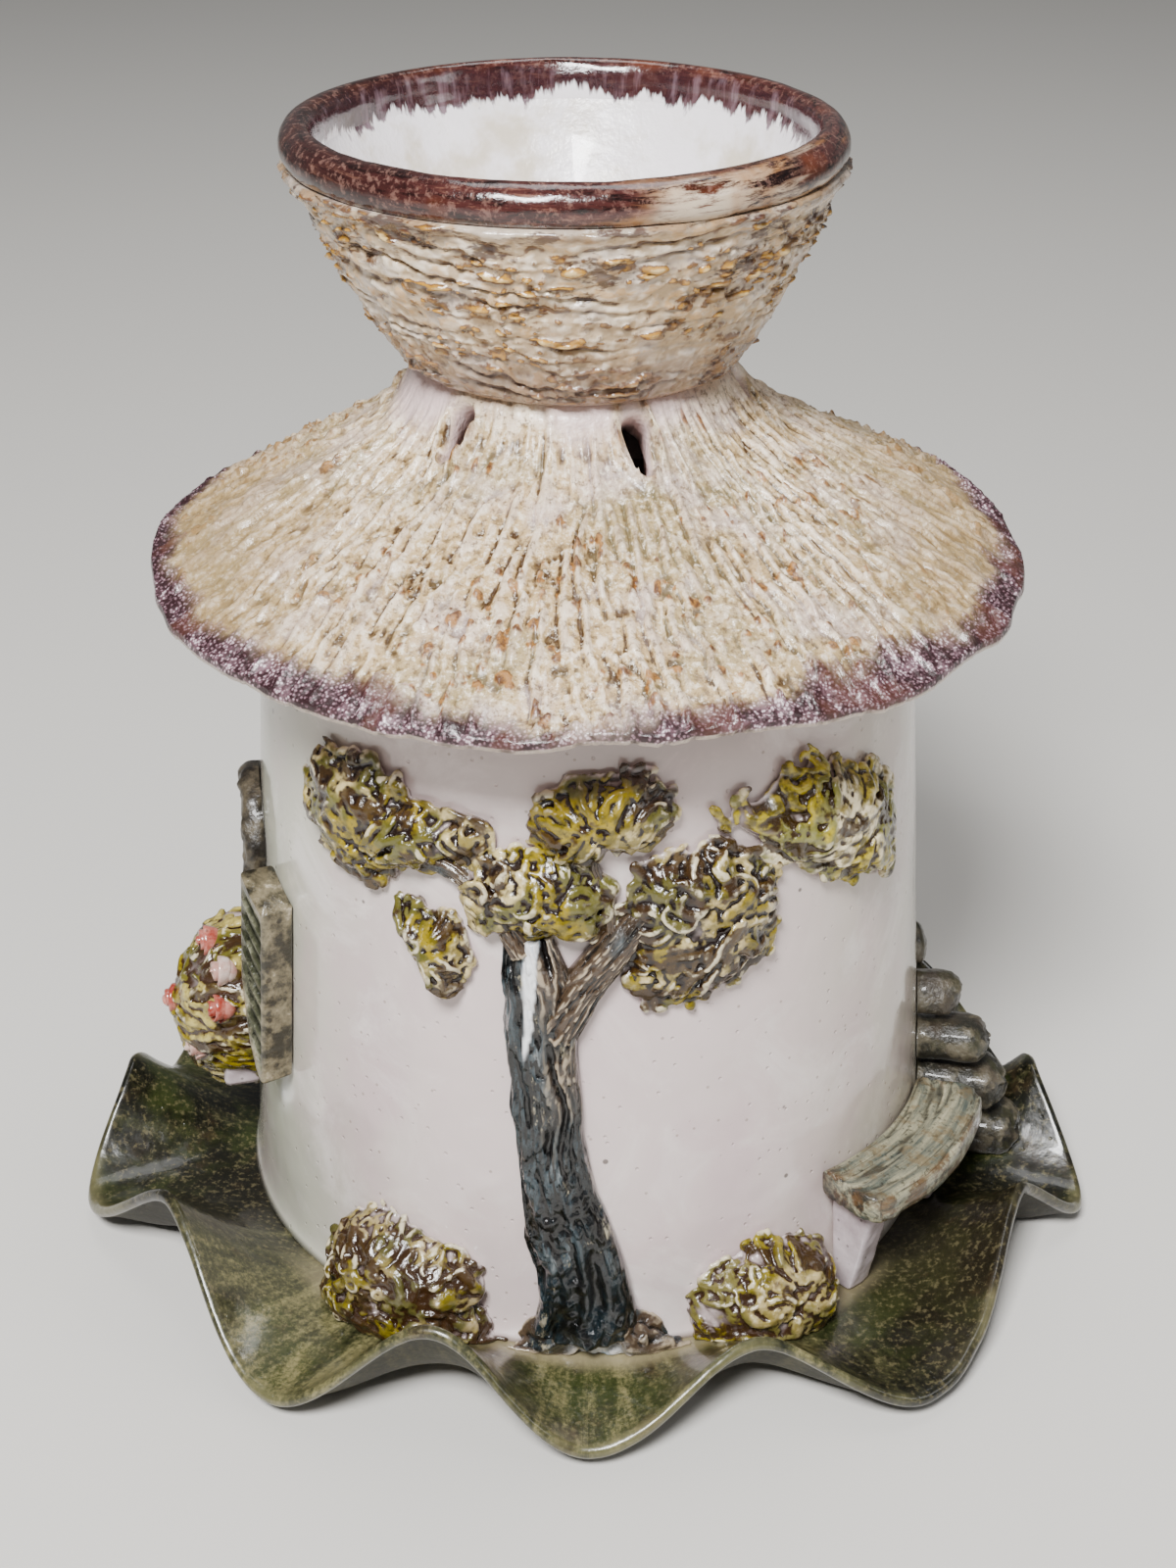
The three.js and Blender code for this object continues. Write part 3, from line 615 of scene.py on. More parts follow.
# ends a glaze: its colour and the fine shape of its surface; see glazeSkin
def fired(base, wave, perMetre, grit=0.0, pits=0.0):
    skin = {"Wave": wave, "Per metre": perMetre, "Pits": pits, "Grit": grit}
    plug(base, shaderInputs()["Base Color"])
    plug(useGroup(glazeSkin, skin)[0], shaderInputs()["Normal"])
    return inHand["material"]


# white, lighter in the middle, cooler grey to the left and warmer grey to the right as painted light and
# reflection, stained and darkened by painted shade below the eave, with two sizes of flecks
def wallGlaze():
    newMaterial("wall_glaze", 0.18, 0.5)
    place = objectPlace()
    # painted light and reflection: lighter in the middle, greener grey towards the left edge and warmer grey
    # towards the right edge
    x = axisOf(place, 0)
    tint = layer("c4c5b6", x, -0.06, -0.02, "dacdcb")
    tint = layer(tint, x, 0.025, 0.06, "cbc5b8")
    clouds = noiseOf(objectPlace((1, 1, 0.6)), 34.0, 4.0, 0.6)
    tint = layer(tint, clouds, 0.45, 0.75, "cbb6bb", 0.6)
    blush = noiseOf(place, 45.0, 6.0, 0.68, 0.8)
    tint = layer(tint, blush, 0.48, 0.72, "e9e3df", 0.6)
    height = axisOf(place, 2)
    # a stain and painted shade: darker in patches towards the top of the wall, under the eave
    stainAndShade = times(ramp(height, 0.1, 0.128), ramp(blush, 0.62, 0.42, 0.45, 0.9))
    tint = mixColor(stainAndShade, tint, "928982")
    fine = specks(420.0, 0.15, 0.3)
    tint = mixColor(times(fine, 0.5), tint, "8a7a68")
    dark = specks(130.0, 0.08, 0.4)
    tint = mixColor(times(dark, 0.8), tint, "4f4236")
    return fired(tint, 0.7, 90.0, pits=0.25)


# green, lighter along its streaks and towards the front as painted light, darker and browner at two places to
# the sides as painted shade
def brimGlaze():
    shader = newMaterial("brim_glaze", 0.3, 0.3)
    flow = flowOf()
    place = objectPlace()
    streak = noiseOf(flow, 1.0, 6.0, 0.66, 0.3)
    patch = noiseOf(place, 45.0, 4.0, 0.6)
    speckle = noiseOf(place, 1400.0, 4.0, 0.7)
    # painted light: the brim is lighter towards the front
    lit = timesPlus(maskOf("wearAndFrontLight"), 0.15, times(streak, 0.65))
    lit = timesPlus(speckle, 0.32, calc("SUBTRACT", lit, 0.075))
    # painted shade, with brown: the deep mask darkens the brim at two places to the sides
    lit = timesPlus(maskOf("deep"), -0.24, lit)
    base = layer("191b12", lit, 0.38, 0.6, "575740")
    base = layer(base, patch, 0.48, 0.62, "434c2c", 0.75)
    brownish = mixColor(patch, "16140f", "4a4234")
    base = mixColor(times(maskOf("deep"), 0.7), base, brownish)
    base = layer(base, lit, 0.53, 0.7, "8f8969")
    brown = noiseOf(place, 80.0, 4.0, 0.7)
    base = layer(base, brown, 0.55, 0.68, "4a3d2e", 0.6)
    grain = noiseOf(place, 900.0, 3.0, 0.7)
    base = layer(base, grain, 0.52, 0.66, "a59b7c", 0.22)
    base = layer(base, grain, 0.46, 0.36, "1d1f15", 0.35)
    edge = times(maskOf("edge"), ramp(patch, 0.45, 0.62, 0.0, 0.5))
    base = mixColor(edge, base, "8a8468")
    base = mixColor(times(maskOf("foot"), 0.7), base, "a49a80")
    under = maskOf("under")
    base = mixColor(times(under, 0.7), base, "38352a")
    plug(timesPlus(under, 0.4, 0.3), shader["Roughness"])
    plug(timesPlus(under, -0.3, 0.3), shader["Coat Weight"])
    return fired(base, 0.9, 160.0, grit=0.08, pits=0.15)


# cream that breaks over the thatch, with rust on crumbs and purple run along the eave
def roofGlaze():
    newMaterial("roof_glaze", 0.36, 0.22)
    relief, crumb, place = maskOf("relief"), maskOf("crumb"), objectPlace()
    base = brokenGlaze("f8e8d4", "cfb794", "563d27", relief, 1.0, 330.0)
    olive = ramp(noiseOf(place, 48.0, 4.0, 0.6), 0.46, 0.62, 0.0, 0.5)
    base = mixColor(olive, base, "a59b7b")
    pink = ramp(noiseOf(place, 75.0, 3.0, 0.6), 0.5, 0.66, 0.0, 0.6)
    base = mixColor(pink, base, "e0d0cb")
    grain = noiseOf(place, 800.0, 4.0, 0.75)
    base = layer(base, grain, 0.48, 0.36, "7d684e", 0.75)
    base = layer(base, grain, 0.52, 0.64, "fff2e2", 0.75)
    rustAndShade = ramp(noiseOf(place, 170.0, 3.0, 0.6), 0.42, 0.52)
    ridge = ramp(relief, 0.75, 1.0, 0.0, 0.35)
    rustAndShade = times(rustAndShade, calc("MAXIMUM", ramp(crumb, 0.2, 0.6), ridge))
    spot = layer("6d4630", grain, 0.42, 0.58, "ab7a4a")
    base = mixColor(times(rustAndShade, 0.9), base, spot)
    # painted shade: browner and darker towards both sides of the roof
    aside = calc("ABSOLUTE", axisOf(place, 0))
    base = layer(base, aside, 0.025, 0.065, mixColor(0.7, base, "a08a6a"))
    base = mixColor(maskOf("smooth"), base, "e8d4d2")
    cloudy = noiseOf(place, 190.0, 6.0, 0.75)
    bead = useGroup(beads, {"Per metre": 1700.0})[0]
    light = timesPlus(bead, 0.2, cloudy)
    purple = layer("3f282c", light, 0.48, 0.66, "8a7078")
    purple = layer(purple, light, 0.64, 0.78, "d5c6cb")
    purple = layer(purple, noiseOf(place, 90.0, 3.0), 0.52, 0.62, "6d473d", 0.5)
    cover = timesPlus(cloudy, 1.6, calc("SUBTRACT", maskOf("band"), 0.8))
    base = mixColor(times(ramp(cover, 0.3, 0.7), maskOf("band")), base, purple)
    base = mixColor(maskOf("lip"), base, "dfd5ca")
    return fired(base, 0.4, 600.0, grit=0.35)


# cream with ochre tips and brushed brown strokes outside, white under hanging purple inside
def bowlGlaze():
    newMaterial("bowl_glaze", 0.24, 0.45)
    relief, crumb, place = maskOf("relief"), maskOf("crumb"), objectPlace()
    base = brokenGlaze("f2e4d2", "cdb99f", "86664c", relief, 0.7, 330.0)
    base = layer(base, noiseOf(place, 120.0, 3.0), 0.48, 0.64, "dbd2cd", 0.5)
    ochre = noiseOf(objectPlace((1, 1, 2)), 95.0, 4.0, 0.6)
    ochre = times(ramp(ochre, 0.46, 0.56), ramp(relief, 0.66, 0.86))
    base = mixColor(times(ochre, 0.6), base, "c49444")
    fine = noiseOf(place, 520.0, 4.0, 0.7)
    mottled = timesPlus(fine, 0.9, calc("SUBTRACT", crumb, 0.45))
    tip = layer("6f4526", mottled, 0.3, 0.5, "c09148")
    tip = layer(tip, mottled, 0.6, 0.85, "e2c795")
    tip = layer(tip, noiseOf(place, 110.0, 2.0), 0.54, 0.64, "623c28", 0.8)
    base = layer(base, mottled, 0.12, 0.34, tip, 0.9)
    height = axisOf(place, 2)
    stroke = noiseOf(objectPlace((1, 1, 3.0)), 62.0, 5.0, 0.72)
    near = ramp(height, 0.165, 0.188, 0.0, 0.1)
    stroke = ramp(calc("ADD", stroke, near), 0.655, 0.71, 0.0, 0.85)
    base = mixColor(stroke, base, mixColor(noiseOf(place, 500.0), "2f1c1c", "6b4a40"))
    # painted shade: darker, purplish brown towards the bowl's foot, where it curves in over the neck
    base = layer(base, height, 0.173, 0.162, "85706c", 0.6)
    # a darker patchy band just below the rim: brushed glaze and painted shade under the rim
    brushed = noiseOf(objectPlace((1, 1, 2.5)), 70.0, 4.0, 0.7)
    runAndShade = timesPlus(calc("SUBTRACT", brushed, 0.5), 0.012, height)
    base = layer(base, runAndShade, 0.1885, 0.1905, "5c4140", 0.5)
    stainAndShade = noiseOf(place, 75.0, 4.0, 0.6)
    white = layer("f4f0f2", stainAndShade, 0.47, 0.66, "cbbfa2", 0.65)
    hanging = useGroup(drips, {})
    purple = layer("4a3338", hanging[1], 0.46, 0.7, "94838a")
    white = mixColor(hanging[0], white, purple)
    base = mixColor(maskOf("inside"), base, white)
    return fired(base, 0.4, 330.0, grit=0.2)


# brushed red-brown, paler to the right, that washes out down the inside
def rimGlaze():
    newMaterial("rim_glaze", 0.16, 0.4)
    place = objectPlace()
    flow = flowOf()
    brushed = noiseOf(flow, 1.0, 6.0, 0.74, 0.4)
    base = layer("1f0d0e", brushed, 0.36, 0.54, "583634")
    base = layer(base, brushed, 0.55, 0.7, "967164")
    patch = noiseOf(place, 42.0, 4.0, 0.6)
    base = layer(base, patch, 0.5, 0.62, "7c4b3a", 0.6)
    # painted shade: darker towards the left
    x = axisOf(place, 0)
    base = layer(base, x, -0.015, -0.036, "2c1615", 0.55)
    grain = noiseOf(place, 900.0, 3.0, 0.7)
    base = layer(base, grain, 0.5, 0.66, "a9887e", 0.35)
    streak = ramp(brushed, 0.4, 0.56, 0.0, 1.0)
    pale = times(maskOf("pale"), streak)
    base = mixColor(pale, base, layer("a57b58", patch, 0.42, 0.6, "d5c6b4"))
    hanging = useGroup(drips, {})
    inner = maskOf("inner")
    washed = layer("442c31", hanging[1], 0.48, 0.72, "8a777e")
    base = mixColor(times(inner, 0.75), base, washed)
    bareAndHighlight = times(inner, calc("SUBTRACT", 1.0, hanging[0]))
    base = mixColor(bareAndHighlight, base, "f4f0f2")
    return fired(base, 0.5, 200.0, grit=0.12)


# blue-grey bark with brown ribs, a teal foot and a run of pale glaze
def barkGlaze():
    newMaterial("bark_glaze", 0.2, 0.55)
    flow = flowOf()
    relief = maskOf("relief")
    streak = noiseOf(flow, 1.0, 4.0, 0.65, 0.35)
    long = noiseOf(objectPlace((1, 1, 0.28)), 330.0, 5.0, 0.7, 0.3)
    broad = noiseOf(objectPlace((1, 1, 0.5)), 110.0, 4.0, 0.65)
    both = timesPlus(long, 0.6, times(broad, 0.4))
    base = layer("0b0f12", both, 0.45, 0.57, "475156")
    base = layer(base, both, 0.56, 0.66, "92989a", 0.85)
    base = layer(base, relief, 0.42, 0.2, "040506")
    cream = noiseOf(objectPlace((1, 1, 0.6)), 190.0, 5.0, 0.7)
    base = layer(base, cream, 0.58, 0.66, "b3ab97", 0.8)
    base = layer(base, streak, 0.54, 0.62, "1c1513", 0.85)
    teal = times(maskOf("teal"), ramp(cream, 0.62, 0.5, 0.3, 0.95))
    base = mixColor(teal, base, layer("030506", cream, 0.42, 0.56, "1d2d34"))
    ribbed = brokenGlaze("b4a693", "5a4b3e", "150e0c", relief, 1.0, 380.0)
    base = mixColor(maskOf("brown"), base, ribbed)
    base = mixColor(maskOf("pale"), base, layer("a9bccb", streak, 0.35, 0.5, "f2f3f4"))
    return fired(base, 0.6, 420.0, grit=0.35)


# pressed strands: brown in the creases between them, partly glaze pooled there and partly painted shade;
# painted highlights on some crests; pale glaze in wide hollows; cream to olive by the place, with pools of
# mustard
def leafGlaze(name, cream, mustard, olive, recess, mustardShare, oliveShare, brownShare=0.06):
    newMaterial(name, 0.26, 0.42)
    crest, place = maskOf("crest"), objectPlace()

    def pick(perMetre, stretch, share, strength):
        spread = noiseOf(objectPlace(stretch), perMetre, 3.0, 0.5)
        return ramp(spread, 0.6 - share, 0.66 - share, 0.0, strength)

    fine = noiseOf(place, 450.0, 3.0, 0.6)
    body = layer(cream, fine, 0.38, 0.62, "988a5c")
    body = mixColor(pick(75.0, (1, 1.2, 1), oliveShare, 0.9), body, olive)
    gold = layer(mustard, fine, 0.4, 0.62, "71652f")
    body = mixColor(pick(80.0, (1.2, 1, 1), mustardShare, 0.95), body, gold)
    body = mixColor(pick(170.0, (1, 1, 1.3), brownShare, 0.9), body, "43291c")
    mottled = noiseOf(place, 600.0, 4.0, 0.7)
    mottled = timesPlus(mottled, 0.9, calc("SUBTRACT", crest, 0.45))
    # painted shade, with glaze pooled brown: the recess colour where the crest mask is low, between and under
    # strands
    base = layer(recess, mottled, 0.31, 0.57, body)
    # painted highlight and thin pale glaze: near-white on the highest crests, in patches
    bareAndHighlight = times(ramp(mottled, 0.72, 0.95), pick(120.0, None, 0.1, 0.7))
    base = mixColor(bareAndHighlight, base, "ece2c9")
    glazed = ramp(noiseOf(place, 170.0, 3.0), 0.46, 0.54, 0.0, 0.95)
    base = mixColor(times(maskOf("hollow"), glazed), base, "b5a8a6")
    base = mixColor(maskOf("skirt"), base, "d6cbcb")
    return fired(base, 0.5, 600.0, grit=0.2)


# dark grey that breaks over relief, with brown, olive and pale patches
def stoneGlaze():
    newMaterial("stone_glaze", 0.42, 0.22)
    place, relief = objectPlace(), maskOf("relief")
    base = brokenGlaze("6c6658", "36342c", "15120f", relief, 1.9, 210.0)
    base = layer(base, noiseOf(place, 90.0, 4.0), 0.5, 0.64, "5a5046", 0.55)
    base = layer(base, noiseOf(place, 170.0, 4.0, 0.7), 0.52, 0.64, "454430", 0.7)
    pale = ramp(noiseOf(objectPlace((1, 1, 2)), 240.0, 4.0, 0.75), 0.6, 0.7, 0.0, 0.6)
    base = mixColor(pale, base, "8a867a")
    return fired(base, 1.3, 300.0, grit=0.5)


# grey grain with dark grooves, rusty edges and ends, and a dark underside that is painted shade
def benchGlaze():
    newMaterial("bench_glaze", 0.34, 0.3)
    flow = flowOf()
    place = objectPlace()
    grain = noiseOf(flow, 1.0, 6.0, 0.7, 0.2)
    base = layer("5f6660", grain, 0.34, 0.6, "a8a48f")
    base = layer(base, grain, 0.58, 0.74, "cdc5ae")
    wearAndFrontLight = noiseOf(place, 220.0, 4.0, 0.7)
    speck = noiseOf(place, 800.0, 4.0, 0.75)
    base = layer(base, speck, 0.46, 0.36, "37342b", 0.75)
    base = layer(base, wearAndFrontLight, 0.5, 0.62, "837257", 0.6)
    base = layer(base, maskOf("groove"), 0.6, 0.98, "34322c", 0.8)
    # rust on the outer edges and the ends, and painted shade on the seat's underside
    rustAndShade = times(maskOf("rustAndShade"), ramp(wearAndFrontLight, 0.42, 0.54, 0.0, 0.9))
    base = mixColor(rustAndShade, base, layer("17110d", grain, 0.42, 0.58, "6a4f38"))
    return fired(base, 0.5, 300.0, grit=0.3)


# fired dark and rubbed pale, with pits, and darker in the slits between the slats
def shutterGlaze():
    newMaterial("shutter_glaze", 0.32, 0.35)
    place = objectPlace()
    patch = noiseOf(place, 190.0, 5.0, 0.7)
    base = layer("3e3a2e", patch, 0.4, 0.6, "8f8671")
    base = layer(base, patch, 0.58, 0.7, "c2b8a8")
    spot = noiseOf(objectPlace((1, 1, 0.7)), 150.0, 4.0, 0.6)
    base = layer(base, spot, 0.62, 0.68, "1d1915", 0.9)
    pit = specks(420.0, 0.3, 0.4)
    base = mixColor(times(pit, 0.7), base, "2c251e")
    slats = maskOf("slats")
    base = mixColor(slats, base, layer("585a47", patch, 0.4, 0.62, "93937f"))
    base = mixColor(maskOf("slit"), base, "26261c")
    return fired(base, 0.6, 330.0, grit=0.35)


# two colours in soft patches, with dark flecks
def plainGlaze(name, pale, deep, perMetre, roughness=0.3, coat=0.35, grit=0.1):
    newMaterial(name, roughness, coat)
    patch = noiseOf(objectPlace(), perMetre, 5.0, 0.65)
    base = layer(deep, patch, 0.38, 0.66, pale)
    speck = specks(600.0, 0.22, 0.25)
    base = mixColor(times(speck, 0.5), base, "3a2c22")
    return fired(base, 0.4, 300.0, grit=grit)


# drawn aluminium with upright lines
def foil():
    shader = newMaterial("foil", 0.28, 0.0, 1.0)
    drawn = noiseOf(objectPlace((1, 1, 0.06)), 900.0, 2.0)
    plug(mixColor(drawn, "a9a9ad", "d6d6da"), shader["Base Color"])
    plug(ramp(drawn, 0.3, 0.7, 0.22, 0.36), shader["Roughness"])
    return inHand["material"]


# hazy white wax
def candleWax():
    newMaterial("candle_wax", 0.42, 0.1)
    haze = noiseOf(objectPlace(), 160.0, 4.0)
    return fired(mixColor(haze, "ebe5d6", "f6f2e8"), 0.3, 200.0, grit=0.04)


# twisted white cord
def cotton():
    shader = newMaterial("cotton_wick", 0.9, 0.0)
    wave = {"Vector": objectPlace(), "Scale": 900.0, "Distortion": 2.0}
    twist = addNode("ShaderNodeTexWave", wave, bands_direction="DIAGONAL").outputs["Fac"]
    plug(mixColor(twist, "cfc6b2", "f0eadc"), shader["Base Color"])
    bump = addNode("ShaderNodeBump", {"Height": twist, "Distance": 0.0004})
    plug(bump.outputs[0], shader["Normal"])
    return inHand["material"]


glaze = dict(
    wall=wallGlaze(), brim=brimGlaze(), roof=roofGlaze(), bowl=bowlGlaze(), rim=rimGlaze(), bark=barkGlaze(),
    leaf=leafGlaze("leaf_glaze", "d8c89e", "9d8b3c", "605f2e", "2b180f", 0.11, 0.15, 0.1),
    leafDeep=leafGlaze("leaf_glaze_deep", "ccbb92", "958434", "545326", "25150f", 0.1, 0.13, 0.14),
    leafPale=leafGlaze("leaf_glaze_pale", "f4e8ca", "bfae56", "83824a", "48351f", 0.1, 0.14, 0.06),
    bushBrown=leafGlaze("bush_glaze_brown", "ab9c7c", "857838", "565430", "412c1d", 0.08, 0.13, 0.12),
    bushYellow=leafGlaze("bush_glaze_yellow", "c0b088", "9a8c42", "756f45", "453021", 0.07, 0.12, 0.08),
    roseLeaf=leafGlaze("rose_leaf_glaze", "c6b87c", "9c8c32", "64602c", "47301f", 0.09, 0.1, 0.1),
    stone=stoneGlaze(), bench=benchGlaze(), shutter=shutterGlaze(),
    hood=plainGlaze("hood_glaze", "6a6254", "2a241e", 240.0, 0.4, 0.2, 0.35),
    white=plainGlaze("white_glaze", "dcd2d4", "b9adb0", 60.0, 0.2, 0.5, 0.02),
    rose=plainGlaze("rose_glaze", "cf978c", "a04a42", 210.0, 0.22, 0.5, 0.03),
    roseWhite=plainGlaze("rose_white_glaze", "e0d2ca", "c09a90", 210.0, 0.22, 0.5, 0.03),
    foil=foil(), wax=candleWax(), cotton=cotton())
print("materials ready")


# floor slab with its ruffled brim
brim = dict(
    waves=[[0, 88.5, 0], [20, 81, 11.5], [37.5, 95, 0], [65, 86, 12], [75, 95, 0], [90, 86, 14],
           [103, 86, 0], [122, 82, 10], [145, 94, 0], [163, 85, 15], [181, 91, 0], [198, 85, 17],
           [217, 94, 0], [240, 84, 12], [257, 86, 0], [270, 88.5, 14], [284, 96, 0], [302.5, 87, 17.5],
           [324.5, 93, 0], [342.5, 84.5, 18]],
    steepness=1.6, thickness=5.0, edgeThickness=2.6, edgeRound=1.4, edgeInset=1.3, columns=600,
    roughness=0.28, topRows=57, lastSideRow=60)


# edge radius and lift at an azimuth, eased by half a cosine between troughs and crests
def brimEdge(azimuth):
    waves = np.array(brim["waves"] + [[360, *brim["waves"][0][1:]]], float)
    a = np.mod(azimuth, 360)
    k = np.clip(np.searchsorted(waves[:, 0], a, side="right") - 1, 0, len(waves) - 2)
    ease = (1 - np.cos(np.pi * (a - waves[k, 0]) / (waves[k + 1, 0] - waves[k, 0]))) / 2
    return waves[k, 1:] + (waves[k + 1, 1:] - waves[k, 1:]) * ease[..., None]


# height of the brim's top: the edge's lift times a power of the share of the way out to it
def brimTop(azimuth, radius):
    edge = brimEdge(azimuth)
    foot = house["wallFoot"]
    share = np.clip((radius - foot) / (edge[..., 0] - brim["edgeInset"] - foot), 0, 1)
    return house["floorTop"] + edge[..., 1] * share ** brim["steepness"]


# lifts points to stay on the brim
def clearOfBrim(points, gap=0.1):
    out = points.copy()
    radius = np.hypot(points[..., 0], points[..., 1])
    out[..., 2] = np.maximum(points[..., 2], brimTop(azimuthOf(points), radius) + gap)
    return out


# rows of points over the top, round the edge and back under the slab
def makeBrim():
    azimuth = ringOf(brim["columns"])
    edge = brimEdge(azimuth)
    wobble = 0.35 * ringFractal(azimuth / 360, 40, 0, 5)
    edgeRadius, edgeLift = edge[:, 0] - 0.5 + wobble, edge[:, 1]
    e = brim["edgeRound"]
    foot = house["wallFoot"]
    rows = []

    def row(radius, z):
        rows.append(polar(azimuth, radius, z))

    def along(share, up):
        radius = foot + (edgeRadius - e - foot) * share
        row(radius, edgeLift * share ** brim["steepness"] + up)

    for radius in (2, 20, 40, 54, 58, 61):
        row(radius, house["floorTop"])
    for share in np.linspace(0, 1, 46):
        along(share, brim["thickness"])
    half = brim["edgeThickness"] / 2
    for turn in np.linspace(0.25, 2.9, 9):
        row(edgeRadius - e + e * np.sin(turn), edgeLift + brim["thickness"] - half + half * np.cos(turn))
    for share in np.append(np.linspace(1, 0.72, 9), np.linspace(0.6, 0, 8)):
        along(share, (brim["thickness"] - brim["edgeThickness"]) * smoothStep(share, 0.7, 1.0))
    for radius in (60, 40, 20, 2):
        row(radius, 0.0)
    rows = np.stack(rows)
    radius = np.hypot(rows[..., 0], rows[..., 1])
    onBrim = smoothStep(radius, foot - 1, foot + 8)
    number = np.arange(len(rows))[:, None]
    bumps = brim["roughness"] * cloud(rows, 11, 3) + 0.16 * ringFractal(azimuth / 360, 90, radius / 22, 9)
    rows[..., 2] += np.where(number < brim["topRows"], onBrim * np.minimum(bumps, 0.25), 0)
    piece = addPiece("ruffled_saucer", surface(rows), "house", glaze["brim"], ["base_saucer"])
    share = (radius - foot) / (edgeRadius - foot)
    pad = [0.0, 0.0]
    setMask(piece, "edge", smoothStep(share + 0.05 * cloud(rows, 6, 4), 0.9, 0.99), pad)
    band = smoothStep(radius + 1.5 * cloud(rows, 7, 8), foot + 8, foot + 3.5)
    setMask(piece, "foot", band * smoothStep(frontness(azimuth), 0.55, 0.8), pad)
    # painted light: 1 towards the front, a little to the left, fading out towards the sides and back
    setMask(piece, "wearAndFrontLight", smoothStep(frontness(azimuth + 12) + 0.2 * cloud(rows, 20, 6), 0.35, 0.9), pad)
    # painted shade, with brown: strongest round azimuth 56, beside the bench, and half as strong round
    # azimuth 292
    deep = bell(azimuth, 56, 15) + 0.5 * bell(azimuth, 292, 14)
    setMask(piece, "deep", deep + 0 * radius, pad)
    setMask(piece, "under", (number > brim["lastSideRow"]) + 0 * radius, pad)
    turned = 3 * np.sin(np.radians(azimuth / 2))
    setFlow(piece, (azimuth * 0.32, radius * 0.05, turned), 2)


makeBrim()
print("brim ready")


# wall with its door and window
wall = dict(columns=320, rows=96, swell=0.22, footFlare=0.9)
door = dict(azimuth=110, halfWidth=22, foot=-1, spring=23, archRise=0.8)
window = dict(azimuth=-83, halfWidth=7, foot=36, spring=67, archRise=1.2)


# prism through the wall with an arched top; the section is a box whose upper side is half an ellipse
def archedBlock(at):
    half, turn = at["halfWidth"], np.linspace(0, np.pi, 25)
    x = np.concatenate([[half], half * np.cos(turn), [-half]])
    z = np.concatenate([[at["foot"]], at["spring"] + at["archRise"] * half * np.sin(turn), [at["foot"]]])
    out, across, up = axesAt(at["azimuth"])
    ring = across * x[:, None] + up * (z[:, None] + house["floorTop"])
    return newMesh("cutter", surface(np.stack([ring + out * d for d in (30, 90)])))


# outer face with a slight swell and a flared foot, and a plain inner face
def makeWall():
    azimuth = ringOf(wall["columns"])
    height = np.linspace(0, house["wallHeight"], wall["rows"])[:, None]
    outer = wallRadius(height) + 0 * azimuth
    probe = polar(azimuth, outer, height)
    outer = outer + wall["swell"] * np.minimum(cloud(probe, 24, 21), 0.4) + 0.05 * cloud(probe, 6, 22)
    outer += wall["footFlare"] * np.exp(-height / 1.6)
    down = np.linspace(house["wallHeight"], 0, 10)[:, None]
    rows = np.concatenate([polar(azimuth, outer, house["floorTop"] + height),
                           onWall(azimuth, down, -house["wallThickness"])])
    piece = newMesh("cottage_wall", surface(rows, wrapRows=True))
    cutOut(piece, [archedBlock(door), archedBlock(window)])
    settle(piece, "house", glaze["wall"], ["wall"])


makeWall()
print("wall ready")


# thatched roof
thatch = dict(neckRadius=25.6, eaveRadius=73.2, rise=33.0, neckFlare=0.2, flareSharpness=14, thickness=6.2,
              underEdge=72.6, seatEdge=57.0, underHeight=124.1, underRise=5.9, lip=0.95,
              neckWall=5.0, neckSkirt=7.0, waviness=1.2, ringInner=44.8,
              columns=1120, rows=72, strawCount=56, strawHeight=1.08, crumbHeight=0.9)
vents = dict(count=6, first=20, place=28.8, width=4.8, length=10.0, tipWidth=2.8)


# height of the cone at a radius: a straight slope and a steep power curve that flares up at the neck
def thatchHeight(radius):
    inwards = (thatch["eaveRadius"] - radius) / (thatch["eaveRadius"] - thatch["neckRadius"])
    flare = thatch["neckFlare"]
    steep = np.maximum(inwards, 0) ** thatch["flareSharpness"]
    return house["eaveTop"] + thatch["rise"] * ((1 - flare) * inwards + flare * steep)


# raised edge round the nearest vent: 1 on an oval a third larger than the vent, fading to both sides
def ventEdge(azimuth, radius):
    pitch = 360 / vents["count"]
    off = np.mod(azimuth - vents["first"] + pitch / 2, pitch) - pitch / 2
    across = np.radians(off) * radius / (vents["width"] / 2)
    along = (radius - vents["place"]) * 1.6 / (vents["length"] / 2)
    return bell(np.hypot(across, along), 1.32, 0.26)
